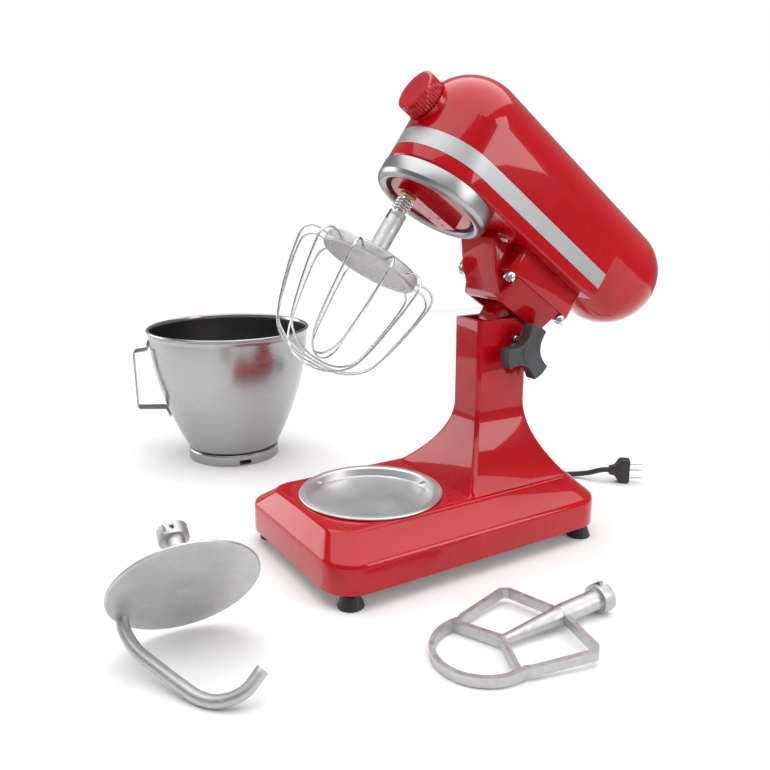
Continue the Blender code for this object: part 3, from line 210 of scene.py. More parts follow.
def sidePlate(name, outline, x0, x1):
    # an anticlockwise (y, z) outline run along X
    return loft(name, [[(x, p[0], p[1]) for p in outline] for x in (x0, x1)])


def arc(centre, radius, start, end, count):
    found = []
    for i in range(count + 1):
        a = math.radians(start + (end - start) * i / count)
        found.append((centre[0] + radius * math.cos(a), centre[1] + radius * math.sin(a)))
    return found


def heading(degrees):
    a = math.radians(degrees)
    return Vector((math.cos(a), math.sin(a), 0))


def softCornered(x0, x1, y0, y1, radius, z, count=14):
    corners = (
        ((x1 - radius, y0 + radius), -90),
        ((x1 - radius, y1 - radius), 0),
        ((x0 + radius, y1 - radius), 90),
        ((x0 + radius, y0 + radius), 180),
    )
    points = []
    for centre, start in corners:
        points += [(x, y, z) for x, y in arc(centre, radius, start, start + 90, count)]
    return points


def smoothPath(route, step):
    # points about one step apart on a smooth curve through the route's own points
    route = [Vector(p) for p in route]
    ends = [2 * route[0] - route[1], *route, 2 * route[-1] - route[-2]]
    found = []
    for i in range(1, len(ends) - 2):
        before, start, end, after = ends[i - 1 : i + 3]
        count = max(1, round((end - start).length / step))
        for k in range(count):
            t = k / count
            bend = 2 * before - 5 * start + 4 * end - after
            swing = 3 * start - before - 3 * end + after
            found.append(0.5 * (2 * start + (end - before) * t + bend * t * t + swing * t**3))
    return found + [route[-1]]


def wire(name, path, radius, sides=16):
    # a round bar along a path, with flat ends
    path = [Vector(p) for p in path]
    run = (path[1] - path[0]).normalized()
    side, _, _ = spokesOf(run)
    loops = []
    for i, spot in enumerate(path):
        run = (path[min(i + 1, len(path) - 1)] - path[max(i - 1, 0)]).normalized()
        side = (side - run * side.dot(run)).normalized()
        up = run.cross(side)
        angles = [2 * math.pi * k / sides for k in range(sides)]
        loops.append([spot + (side * math.cos(a) + up * math.sin(a)) * radius for a in angles])
    return loft(name, loops)


def thickLine(line, half):
    # the anticlockwise outline of a flat line, thickened to both sides
    left, right = [], []
    for i, spot in enumerate(line):
        run = (Vector(line[min(i + 1, len(line) - 1)]) - Vector(line[max(i - 1, 0)])).normalized()
        normal = Vector((-run.y, run.x))
        left.append(Vector(spot) + normal * half)
        right.append(Vector(spot) - normal * half)
    return right + left[::-1]


helpers = {}


def combine(target, others, operation):
    for other in others:
        step = target.modifiers.new(other.name, "BOOLEAN")
        step.object = other
        step.operation = operation
        step.solver = "EXACT"
        helpers.setdefault(target.name, []).append(other)
        other.hide_render = True


def cut(target, *others):
    combine(target, others, "DIFFERENCE")


def join(target, *others):
    combine(target, others, "UNION")


def easeEdges(obj, width, segments=2, angle=32):
    step = obj.modifiers.new("edges", "BEVEL")
    step.width = width
    step.segments = segments
    step.limit_method = "ANGLE"
    step.angle_limit = math.radians(angle)
    step.use_clamp_overlap = True
    step.miter_outer = "MITER_ARC"


def bake(obj):
    # the shape with its modifiers worked in, and its helpers gone
    bpy.context.view_layer.update()
    graph = bpy.context.evaluated_depsgraph_get()
    mesh = bpy.data.meshes.new_from_object(obj.evaluated_get(graph))
    obj.modifiers.clear()
    obj.data = mesh
    for other in helpers.pop(obj.name, []):
        for inner in helpers.pop(other.name, []):
            bpy.data.objects.remove(inner)
        bpy.data.objects.remove(other)
    return obj


def finish(obj, place, body, coat, replaced=(), smooth=30):
    # puts a shape in its place, gives it its finish and lets it ride
    bake(obj)
    obj.data.transform(place)
    obj.data.update()
    for face in obj.data.polygons:
        face.use_smooth = True
    obj.data.set_sharp_from_angle(angle=math.radians(smooth))
    obj.data.materials.clear()
    obj.data.materials.append(coat)
    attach(obj, body)
    if replaced:
        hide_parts(*replaced)
    return obj


# Geometry Nodes tools


def newTree(name, inputs):
    # inputs: {name: (socket type, default)}
    tree = bpy.data.node_groups.new(name, "GeometryNodeTree")
    tree.interface.new_socket("Geometry", in_out="INPUT", socket_type="NodeSocketGeometry")
    for label, (kind, start) in inputs.items():
        socket = tree.interface.new_socket(label, in_out="INPUT", socket_type=f"NodeSocket{kind}")
        socket.default_value = start
    tree.interface.new_socket("Geometry", in_out="OUTPUT", socket_type="NodeSocketGeometry")
    source = tree.nodes.new("NodeGroupInput")
    return tree, source


def geo(tree, kind, values=None, **links):
    # a node with its plain settings and its sockets set or linked by name
    node = tree.nodes.new(kind)
    for key, value in (values or {}).items():
        setattr(node, key, value)
    for key, value in links.items():
        socket = next(s for s in node.inputs if s.name.replace(" ", "") == key and s.enabled)
        if isinstance(value, bpy.types.NodeSocket):
            tree.links.new(value, socket)
        else:
            socket.default_value = value
    return node


def pick(node, label):
    return next(s for s in node.outputs if s.name == label and s.enabled)


def mixed(tree, operation, a, b):
    node = tree.nodes.new("ShaderNodeMath")
    node.operation = operation
    for socket, value in zip(node.inputs, (a, b)):
        if isinstance(value, bpy.types.NodeSocket):
            tree.links.new(value, socket)
        else:
            socket.default_value = value
    return node.outputs[0]


def vector(tree, x, y, z):
    node = tree.nodes.new("ShaderNodeCombineXYZ")
    for socket, value in zip(node.inputs, (x, y, z)):
        if isinstance(value, bpy.types.NodeSocket):
            tree.links.new(value, socket)
        else:
            socket.default_value = value
    return node.outputs[0]


def closeTree(tree, geometry, coat):
    whole = geo(tree, "GeometryNodeRealizeInstances", Geometry=geometry)
    painted = geo(tree, "GeometryNodeSetMaterial", Geometry=pick(whole, "Geometry"))
    painted.inputs["Material"].default_value = coat
    out = tree.nodes.new("NodeGroupOutput")
    tree.links.new(pick(painted, "Geometry"), out.inputs[0])


def grown(name, tree, values, data=None):
    # an object whose mesh comes from a tree, its inputs set by their identifiers
    obj = linked(name, data or bpy.data.meshes.new(name))
    step = obj.modifiers.new("shape", "NODES")
    step.node_group = tree
    for item in tree.interface.items_tree:
        if item.in_out == "INPUT" and item.name in values:
            step[item.identifier] = values[item.name]
    bpy.context.view_layer.update()
    graph = bpy.context.evaluated_depsgraph_get()
    mesh = bpy.data.meshes.new_from_object(obj.evaluated_get(graph))
    bpy.data.objects.remove(obj)
    return linked(name, mesh)


# Finishes


def shaderOf(name, color, roughness, metallic, more):
    coat = bpy.data.materials.new(name)
    coat.use_nodes = True
    tree = coat.node_tree
    shader = tree.nodes["Principled BSDF"]
    shader.inputs["Base Color"].default_value = (*color, 1)
    shader.inputs["Roughness"].default_value = roughness
    shader.inputs["Metallic"].default_value = metallic
    for label, value in (more or {}).items():
        shader.inputs[label].default_value = value
    return coat, tree, shader


def place3(tree, centre=(0, 0, 0), turn=(0, 0, 0), scale=(1, 1, 1)):
    # Object coordinates moved to a centre, then turned and scaled
    where = tree.nodes.new("ShaderNodeTexCoord")
    shift = tree.nodes.new("ShaderNodeMapping")
    shift.inputs["Location"].default_value = [-c for c in centre]
    tree.links.new(where.outputs["Object"], shift.inputs["Vector"])
    rest = tree.nodes.new("ShaderNodeMapping")
    rest.inputs["Rotation"].default_value = [math.radians(t) for t in turn]
    rest.inputs["Scale"].default_value = scale
    tree.links.new(shift.outputs["Vector"], rest.inputs["Vector"])
    return rest.outputs["Vector"]


def noise(tree, where, scale, detail=3.0, roughness=0.55):
    node = tree.nodes.new("ShaderNodeTexNoise")
    node.inputs["Scale"].default_value = scale
    node.inputs["Detail"].default_value = detail
    node.inputs["Roughness"].default_value = roughness
    tree.links.new(where, node.inputs["Vector"])
    return node.outputs["Fac"]


def spread(tree, value, low, high, start=0.3, end=0.7):
    node = tree.nodes.new("ShaderNodeMapRange")
    for label, number in (("From Min", start), ("From Max", end), ("To Min", low), ("To Max", high)):
        node.inputs[label].default_value = number
    tree.links.new(value, node.inputs["Value"])
    return node.outputs["Result"]


def shades(tree, value, stops):
    ramp = tree.nodes.new("ShaderNodeValToRGB")
    for element, (spot, color) in zip(ramp.color_ramp.elements, (stops[0], stops[-1])):
        element.position, element.color = spot, (*color, 1)
    tree.links.new(value, ramp.inputs["Fac"])
    return ramp.outputs["Color"]


def relief(tree, shader, height, strength, depth):
    bump = tree.nodes.new("ShaderNodeBump")
    bump.inputs["Strength"].default_value = strength
    bump.inputs["Distance"].default_value = depth
    tree.links.new(height, bump.inputs["Height"])
    tree.links.new(bump.outputs["Normal"], shader.inputs["Normal"])
    return bump


def scaled(color, factor):
    return tuple(min(c * factor, 1) for c in color)


def enamel(name, s):
    # stoved paint: a deep even colour under clear gloss, with a faint orange peel
    coat, tree, shader = shaderOf(name, s["color"], s["roughness"], 0.0, {
        "Coat Weight": s["coat"], "Coat Roughness": 0.03, "Coat IOR": 1.45, "IOR": 1.2,
    })
    where = place3(tree)
    cloud = noise(tree, where, 9, 2)
    tree.links.new(shades(tree, cloud, [(0.3, scaled(s["color"], 0.9)), (0.7, scaled(s["color"], 1.08))]),
                   shader.inputs["Base Color"])
    tree.links.new(spread(tree, noise(tree, where, 60, 3), s["roughness"] * 0.8, s["roughness"] * 1.25),
                   shader.inputs["Roughness"])
    peel = noise(tree, where, 420, 2, 0.4)
    relief(tree, shader, peel, s["peel"], 0.0004)
    return coat


def brushed(name, s):
    # metal with fine lines round an axis ("spin") or along one ("line")
    coat, tree, shader = shaderOf(name, s["color"], s["roughness"], s.get("metallic", 1.0), None)
    where = place3(tree, s.get("centre", (0, 0, 0)), s.get("turn", (0, 0, 0)))
    apart = tree.nodes.new("ShaderNodeSeparateXYZ")
    tree.links.new(where, apart.inputs[0])
    x, y, z = apart.outputs
    if s["way"] == "spin":
        out = mixed(tree, "SQRT", mixed(tree, "ADD", mixed(tree, "MULTIPLY", x, x),
            mixed(tree, "MULTIPLY", y, y)), 0)
        turnShare = mixed(tree, "ARCTAN2", y, x)
        along = vector(tree, mixed(tree, "MULTIPLY", out, s["fine"]),
            mixed(tree, "MULTIPLY", turnShare, 1.2),
                       mixed(tree, "MULTIPLY", z, s["fine"]))
    else:
        along = vector(tree, mixed(tree, "MULTIPLY", x, s["fine"]),
            mixed(tree, "MULTIPLY", y, s["fine"] * 0.02),
                       mixed(tree, "MULTIPLY", z, s["fine"]))
    lines = noise(tree, along, 1.0, 4, 0.7)
    cloud = noise(tree, where, 22, 3)
    tone = mixed(tree, "ADD", mixed(tree, "MULTIPLY", lines, 0.6), mixed(tree, "MULTIPLY", cloud, 0.4))
    tree.links.new(shades(tree, tone, [(0.3, scaled(s["color"], 0.93)), (0.7, scaled(s["color"], 1.05))]),
                   shader.inputs["Base Color"])
    tree.links.new(spread(tree, tone, s["roughness"] * 0.8, s["roughness"] * 1.25),
        shader.inputs["Roughness"])
    relief(tree, shader, lines, s["depth"], 0.0002)
    return coat


def castMetal(name, s):
    # tumbled castings and plated steel: a mottled tone and a fine grain
    coat, tree, shader = shaderOf(name, s["color"], s["roughness"], s.get("metallic", 1.0), None)
    where = place3(tree)
    cloud = noise(tree, where, s.get("cloud", 35), 4)
    tree.links.new(shades(tree, cloud, [(0.3, scaled(s["color"], 0.92)), (0.7, scaled(s["color"], 1.05))]),
                   shader.inputs["Base Color"])
    tree.links.new(spread(tree, noise(tree, where, 160, 3), s["roughness"] * 0.8, s["roughness"] * 1.25),
                   shader.inputs["Roughness"])
    relief(tree, shader, noise(tree, where, s.get("grain", 1100), 3), s.get("depth", 0.12), 0.0002)
    return coat


def moulded(name, s):
    # plastic and rubber: fine spark texture, slightly paler where handled
    coat, tree, shader = shaderOf(name, s["color"], s["roughness"], 0.0, None)
    where = place3(tree)
    cloud = noise(tree, where, 40, 3)
    tree.links.new(shades(tree, cloud, [(0.3, scaled(s["color"], 0.8)), (0.72, scaled(s["color"], 1.35))]),
                   shader.inputs["Base Color"])
    tree.links.new(spread(tree, noise(tree, where, 300, 2), s["roughness"] * 0.85, s["roughness"] * 1.15),
                   shader.inputs["Roughness"])
    relief(tree, shader, noise(tree, where, s.get("grain", 1600), 2), s.get("depth", 0.25), 0.0003)
    return coat


def banded(name, s):
    # windings, gear flanks and laminations: fine even bands along one axis
    coat, tree, shader = shaderOf(name, s["color"], s["roughness"], s.get("metallic", 1.0), None)
    where = place3(tree, (0, 0, 0), s.get("turn", (0, 0, 0)))
    wave = tree.nodes.new("ShaderNodeTexWave")
    wave.bands_direction = s.get("across", "Y")
    wave.inputs["Scale"].default_value = s["bands"]
    wave.inputs["Distortion"].default_value = 0.4
    tree.links.new(where, wave.inputs["Vector"])
    tree.links.new(shades(tree, wave.outputs["Fac"], [(0.15, scaled(s["color"], 0.5)), (0.6, s["color"])]),
                   shader.inputs["Base Color"])
    tree.links.new(spread(tree, noise(tree, where, 120, 3), s["roughness"] * 0.8, s["roughness"] * 1.3),
                   shader.inputs["Roughness"])
    relief(tree, shader, wave.outputs["Fac"], 0.35, 0.0004)
    return coat


headTurn = (-tilt["degrees"], 0, 0)
bowlCentre = ((setShift[0] - 395.0) * millimetre, (setShift[1] - 4.0) * millimetre, 0)
seatCentre = (setShift[0] * millimetre, setShift[1] * millimetre, 0)
headCentre = tuple(onHead @ Vector((0, 0, 300)))
finishes = {
    "redEnamel": (enamel, {"color": (0.46, 0.0005, 0.006), "roughness": 0.24, "coat": 0.75, "peel": 0.02}),
    "bowlSteel": (brushed, {"color": (0.4, 0.4, 0.405), "roughness": 0.25, "way": "spin", "fine": 1900,
                            "depth": 0.05, "centre": bowlCentre}),
    # painted shade: a darker copy of the bowl steel, used on the bowl's inside faces
    "shadedBowlInside": (brushed, {"color": (0.13, 0.13, 0.135), "roughness": 0.36, "way": "spin", "fine": 1300,
                             "depth": 0.12, "centre": bowlCentre}),
    "seatSteel": (brushed, {"color": (0.72, 0.72, 0.73), "roughness": 0.4, "way": "spin", "fine": 1600,
                            "depth": 0.07, "centre": seatCentre}),
    "bezelSteel": (brushed, {"color": (0.4, 0.4, 0.41), "roughness": 0.33, "way": "spin", "fine": 1500,
                             "depth": 0.1, "centre": headCentre, "turn": headTurn}),
    "satinStripe": (brushed, {"color": (0.46, 0.46, 0.47), "roughness": 0.46, "way": "line", "fine": 1500,
                              "depth": 0.1, "centre": headCentre, "turn": headTurn}),
    "castAluminium": (castMetal, {"color": (0.55, 0.55, 0.56), "roughness": 0.48, "grain": 900}),
    "brightSteel": (castMetal, {"color": (0.72, 0.72, 0.73), "roughness": 0.2, "depth": 0.05}),
    "whiskSteel": (castMetal, {"color": (0.62, 0.62, 0.63), "roughness": 0.26, "depth": 0.04}),
    "knobPlastic": (moulded, {"color": (0.045, 0.046, 0.05), "roughness": 0.5}),
    "footRubber": (moulded, {"color": (0.018, 0.018, 0.02), "roughness": 0.42, "grain": 900}),
    "cordJacket": (moulded, {"color": (0.02, 0.02, 0.022), "roughness": 0.45, "grain": 1200}),
    "brass": (castMetal, {"color": (0.72, 0.52, 0.22), "roughness": 0.28, "depth": 0.06}),
    "gearSteel": (banded, {"color": (0.42, 0.42, 0.44), "roughness": 0.34, "bands": 320, "across": "Z"}),
    "statorIron": (banded, {"color": (0.3, 0.3, 0.32), "roughness": 0.45, "bands": 260, "turn": headTurn}),
    "copperWinding": (banded, {"color": (0.62, 0.27, 0.12), "roughness": 0.35, "bands": 240,
                               "turn": headTurn}),
    "circuitBoard": (castMetal, {"color": (0.02, 0.17, 0.06), "roughness": 0.45, "metallic": 0.0,
                                 "cloud": 90}),
}
coats = {name: make(name, settings) for name, (make, settings) in finishes.items()}
print("finishes ready:", len(coats))


# Supply cord, from the strain relief through its coil to the plug

cordSettings = {
    "radius": 3.5,
    "spacing": 7.2,
    "coilCentre": (-132.0, 325.0),
    "coilRadius": 37.0,
    "leadHeading": 10,
    "gland": (-66.0, 246.0, 27.0),
    "plugRear": (-8.5, 383.0, 17.0),
    "plugHeading": 52.0,
    "turnSteps": 36,
}


def eased(share):
    share = min(max(share, 0), 1)
    return share * share * (3 - 2 * share)


def coilPoints(c):
    # three turns inwards on the upper layer, a step down, and three outwards on the lower one
    radii = [c["coilRadius"] + c["spacing"] * k for k in (1, 0, -1)]
    high, low = c["spacing"] * 1.5, c["spacing"] * 0.5
    steps = [(230, radii[1]), (590, radii[2]), (1170, radii[1]), (1530, radii[0])]
    points = []
    total = 1745 - c["leadHeading"]
    count = round(total / 360 * c["turnSteps"])
    for k in range(count + 1):
        angle = c["leadHeading"] + total * k / count
        radius = radii[0]
        for start, after in steps:
            if angle > start:
                share = eased((angle - start) / 140)
                radius += (after - radius) * share if share < 1 else after - radius
        height = high + (low - high) * eased((angle - 880) / 140)
        spot = heading(angle) * radius
        points.append(Vector((c["coilCentre"][0] + spot.x, c["coilCentre"][1] + spot.y, height)))
    return points


def cordRoute(c):
    x, back, z = c["gland"]
    lead = [(x, back - 4, z), (x, back + 8, z), (x, back + 23, z), (x - 3, back + 37, z - 4.5)]
    lead += [(x - 8, back + 50, z - 11), (x - 13, back + 62, z - 15), (x - 16, back + 69, z - 15.8)]
    r = c["radius"] + 0.1
    rear, ahead = Vector(c["plugRear"]), heading(c["plugHeading"])
    tail = [(-84, 303, r), (-74, 319, r), (-62, 336, r), (-48, 351, r + 0.8), (-30, 366, r + 5.5)]
    tail += [rear - ahead * 14 - Vector((0, 0, 1.5)), rear - ahead * 6, rear + ahead * 2]
    turns = coilPoints(c)
    route = smoothPath([*lead, turns[1]], 6)[:-1] + turns[1:-1] + smoothPath([turns[-1], *tail], 6)
    return route


def makeCord(c):
    route = cordRoute(c)
    data = bpy.data.curves.new("supplyCord", "CURVE")
    data.dimensions = "3D"
    data.bevel_depth = c["radius"] * millimetre
    data.bevel_resolution = 5
    data.use_fill_caps = True
    spline = data.splines.new("POLY")
    spline.points.add(len(route) - 1)
    placed = [onStand @ p for p in route]
    for target, point in zip(spline.points, placed):
        target.co = (*point, 1)
    obj = linked("supplyCord", data)
    data.materials.append(coats["cordJacket"])
    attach(obj, "stand")
    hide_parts("cord_lead", "cord_coil", "cord_tail")
    length = sum((b - a).length for a, b in zip(placed, placed[1:]))
    return obj, placed, length


cordObject, cordPath, cordLength = makeCord(cordSettings)
print(f"cord laid: {cordLength:.3f} m")

plugSettings = {"height": 34.0, "thickness": 17.0, "length": 26.0, "pin": 2.0, "spacing": 9.5,
                "pinLength": 18.0, "pinSeat": 6.0, "ribs": 5}


def makePlug(c, p):
    along = heading(c["plugHeading"])
    across = Vector((-along.y, along.x, 0))
    rear = Vector(c["plugRear"])
    shape = [(0, 0.33, 0.58), (3, 0.36, 0.62), (7, 0.42, 0.7), (9.5, 0.62, 0.8), (12, 0.86, 0.91)]
    shape += [(14, 0.95, 0.96), (16, 0.985, 0.985), (p["length"] - 0.8, 0.97, 0.985),
        (p["length"], 0.94, 0.95)]
    loops = []
    for run, tall, thick in shape:
        high, wide = p["height"] / 2 * tall, p["thickness"] / 2 * thick
        spot = rear + along * run
        outline = softCornered(-wide, wide, -high, high, min(high, wide) * 0.5, 0, 8)
        loops.append([spot + across * a + Vector((0, 0, b)) for a, b, _ in outline])
    body = loft("plugBody", loops)
    grips, pins = [], []
    for k in range(p["ribs"]):
        spot = rear + along * (14.5 + 2.2 * k)
        for side in (-1, 1):
            middle = spot + across * side * (p["thickness"] / 2 + 0.35)
            grips.append(rod(f"grip{k}{side}", 0.7, middle - Vector((0, 0, 9)),
                middle + Vector((0, 0, 9)), 16))
    cut(body, *grips)
    plug = finish(body, onStand, "stand", coats["cordJacket"], ["plug_body"], 35)
    face = rear + along * p["length"]
    for i in range(3):
        offset = 3 if i == 1 else 0
        middle = across * offset + Vector((0, 0, p["spacing"] * (i - 1)))
        foot = face - along * p["pinSeat"] + middle
        profile = [(0, 0), (p["pin"], 0), (p["pin"], 22.5), (1.5, 23.7), (0.8, 24), (0, 24)]
        pin = lathe(f"plugPin{i + 1}", profile, foot, along, 32)
        pins.append(finish(pin, onStand, "stand", coats["brightSteel"],
            [f"plug_pin_{i + 1}"]))
    return plug, pins


plugObject, pins = makePlug(cordSettings, plugSettings)
print("plug made")


# Stand

base = {
    "width": 219.0, "front": -102.0, "back": 246.0, "corner": 34.0, "underside": 18.0, "wallTop": 48.0,
    "deck": 69.0, "deckMargin": 33.0, "frontMargin": 17.0, "wall": 6.0, "edgeRadius": 9.0,
}
column = {
    "front": 126.0, "back": 196.0, "width": 45.4, "top": 248.0, "corner": 5.0, "flareTop": 152.0,
    "sideFlare": 50.0, "frontFlare": 44.0, "backFlare": 26.0, "crest": 18.0,
}
joint = {"bolt": 5.0, "knuckle": 15.0, "knuckleWidth": 28.0, "cheekScrew": 2.5}
seat = {"pan": 69.5, "outer": 78.0, "depth": 9.0, "sheet": 1.5, "lugs": 3, "lugHeading": 90.0}


def baseLoops(b, inset=0):
    half = b["width"] / 2
    side = rounded([(0, b["underside"]), (0, b["wallTop"]), (b["deckMargin"], b["deck"]),
        (b["deckMargin"] + 30, b["deck"])],
                   b["edgeRadius"], 8)
    front = rounded([(0, b["underside"]), (0, b["wallTop"]), (b["frontMargin"], b["deck"]),
        (b["frontMargin"] + 30, b["deck"])],
                    b["edgeRadius"], 8)
    loops = []
    for s, f in zip(side[:-1], front[:-1]):
        corner = max(b["corner"] - 0.35 * s.x, 6)
        x, ends = half - s.x - inset, (b["front"] + f.x + inset, b["back"] - f.x - inset)
        loops.append([(px, py, min(s.y, f.y)) for px, py, _ in softCornered(-x, x, *ends, corner, 0)])
    return loops


def columnLoop(c, z, inset=0):
    fall = max((c["flareTop"] - z) / (c["flareTop"] - base["deck"]), 0)
    half = c["width"] / 2 + c["sideFlare"] * fall**2 - inset
    front = c["front"] - c["frontFlare"] * fall**2 + inset
    back = c["back"] + c["backFlare"] * fall**2 - inset
    return softCornered(-half, half, front, back, max(c["corner"] - inset / 2, 2), z)


def makeStand(b, c, j):
    loops = baseLoops(b)
    flareSteps = 24
    for k in range(flareSteps + 1):
        lift = 0.01 if k == 0 else (c["flareTop"] - b["deck"]) * k / flareSteps
        loops.append(columnLoop(c, b["deck"] + lift))
    loops.append(columnLoop(c, c["top"]))
    body = loft("standCasting", loops)
    past = fit["past"]
    half = b["width"] / 2 - b["wall"]
    recess = [softCornered(-half, half, b["front"] + b["wall"], b["back"] - b["wall"], b["corner"] - 4, z)
              for z in (b["underside"] - past, b["underside"] + 16)]
    cut(body, loft("recess", recess))
    well = [columnLoop(c, z, b["wall"]) for z in (c["flareTop"] + 10, c["top"] + past)]
    cut(body, loft("well", well))
    cut(body, rod("seatHole", seat["pan"] + fit["gap"], (0, 0, b["deck"] - 16), (0, 0, b["deck"] + past),
        128))
    wide = c["width"] / 2 + past
    centre = (c["back"] - c["crest"], c["top"] - c["crest"])
    outline = arc(centre, c["crest"], 90, 0, 14)
    outline += [(c["back"] + past, centre[1]), (c["back"] + past, c["top"] + past),
        (centre[0], c["top"] + past)]
    cut(body, sidePlate("crest", outline, -wide, wide))
    slot = j["knuckleWidth"] / 2 + fit["clearance"]
    cut(body, block("knuckleSlot", (-slot, hinge.y, hinge.z - 25),
        (slot, c["back"] + past, c["top"] + past)))
    cut(body, rod("boltHole", j["bolt"] + fit["gap"], (-wide, hinge.y, hinge.z), (wide, hinge.y, hinge.z)))
    easeEdges(body, 1.3, 3, 38)
    return finish(body, onStand, "stand", coats["redEnamel"], ["stand_casting"], 40)


def makeSeat(s, deck):
    low, flange, pan, sheet = deck - s["depth"], deck + fit["gap"], s["pan"], s["sheet"]
    profile = [(0, low), (pan - 2, low), (pan, low + 2), (pan, flange), (s["outer"] - 1, flange),
        (s["outer"], flange + 1)]
    profile += [(s["outer"] - 1, flange + 2.5), (pan + 1, flange + 3), (pan - sheet, flange + 1.5),
        (pan - sheet, low + 3)]
    profile += [(pan - 3, low + sheet), (0, low + sheet)]
    body = turned("bowlSeat", profile, edge=1.2, steps=160)
    height = Vector((0, 0, low + sheet + 5.5))
    for k in range(s["lugs"]):
        out = heading(s["lugHeading"] + 360 * k / s["lugs"])
        join(body, rod(f"lug{k}", 2.0, out * (66 - sheet - 2) + height, out * (pan - sheet / 2) + height,
            24))
    return finish(body, onStand, "stand", coats["seatSteel"], ["bowl_seat"], 35)


makeStand(base, column, joint)
makeSeat(seat, base["deck"])
print("stand made")

foot = {"radius": 14.0, "height": 14.0, "top": 9.0, "stud": 4.0, "sideInset": 17.5, "frontInset": 24.0,
    "backInset": 22.0,
        "flutes": 18}


def feetTree(coat):
    tree, given = newTree("fluted feet", {
        "Span X": ("Float", 0.18), "Span Y": ("Float", 0.3), "Low radius": ("Float", 0.014),
        "Top radius": ("Float", 0.009),
        "Height": ("Float", 0.014), "Flutes": ("Int", 18),
    })
    grid = geo(tree, "GeometryNodeMeshGrid", SizeX=pick(given, "Span X"), SizeY=pick(given, "Span Y"),
        VerticesX=2, VerticesY=2)
    cone = geo(tree, "GeometryNodeMeshCone", Vertices=72, SideSegments=6,
        RadiusTop=pick(given, "Top radius"),
               RadiusBottom=pick(given, "Low radius"), Depth=pick(given, "Height"))
    where = geo(tree, "GeometryNodeInputPosition")
    apart = tree.nodes.new("ShaderNodeSeparateXYZ")
    tree.links.new(where.outputs[0], apart.inputs[0])
    angle = mixed(tree, "ARCTAN2", apart.outputs[1], apart.outputs[0])
    wave = mixed(tree, "COSINE", mixed(tree, "MULTIPLY", angle, pick(given, "Flutes")), 0)
    shrink = mixed(tree, "ADD", 0.975, mixed(tree, "MULTIPLY", wave, 0.024))
    spot = vector(tree, mixed(tree, "MULTIPLY", apart.outputs[0], shrink),
        mixed(tree, "MULTIPLY", apart.outputs[1], shrink),
                  apart.outputs[2])
    fluted = geo(tree, "GeometryNodeSetPosition", Geometry=pick(cone, "Mesh"), Position=spot)
    many = geo(tree, "GeometryNodeInstanceOnPoints", Points=pick(grid, "Mesh"),
        Instance=pick(fluted, "Geometry"))
    closeTree(tree, pick(many, "Instances"), coat)
    return tree


def makeFeet(f, b):
    spanX = b["width"] - 2 * f["sideInset"]
    front, back = b["front"] + f["frontInset"], b["back"] - f["backInset"]
    tree = feetTree(coats["footRubber"])
    feet = grown("rubberFeet", tree, {
        "Span X": spanX, "Span Y": back - front, "Low radius": f["radius"] - 0.2, "Top radius": f["top"],
        "Height": f["height"] - 0.4, "Flutes": f["flutes"],
    })
    feet.data.transform(Matrix.Translation((0, (front + back) / 2, 0.2)))
    easeEdges(feet, 0.8, 2, 40)
    names = [f"foot_{a}_{b}" for a in ("front", "rear") for b in ("left", "right")]
    finish(feet, onStand, "stand", coats["footRubber"], names, 35)
    studs = None
    for i, x in enumerate((-spanX / 2, spanX / 2)):
        for k, y in enumerate((front, back)):
            profile = [(0, 12), (f["stud"], 12), (f["stud"], 14.2), (6.2, 14.4), (6.2, 16.6),
                (f["stud"], 16.8)]
            profile += [(f["stud"], 24), (0, 24)]
            stud = turned(f"footStud{i}{k}", profile, (x, y, 0), edge=0.3, steps=32)
            if studs is None:
                studs = stud
            else:
                join(studs, stud)
    finish(studs, onStand, "stand", coats["brightSteel"])


makeFeet(foot, base)

socketScrew = {"head": 6.5, "headHeight": 8.3, "socket": 3.0, "socketDepth": 4.5, "shank": 4.0,
    "shankLength": 34.0}


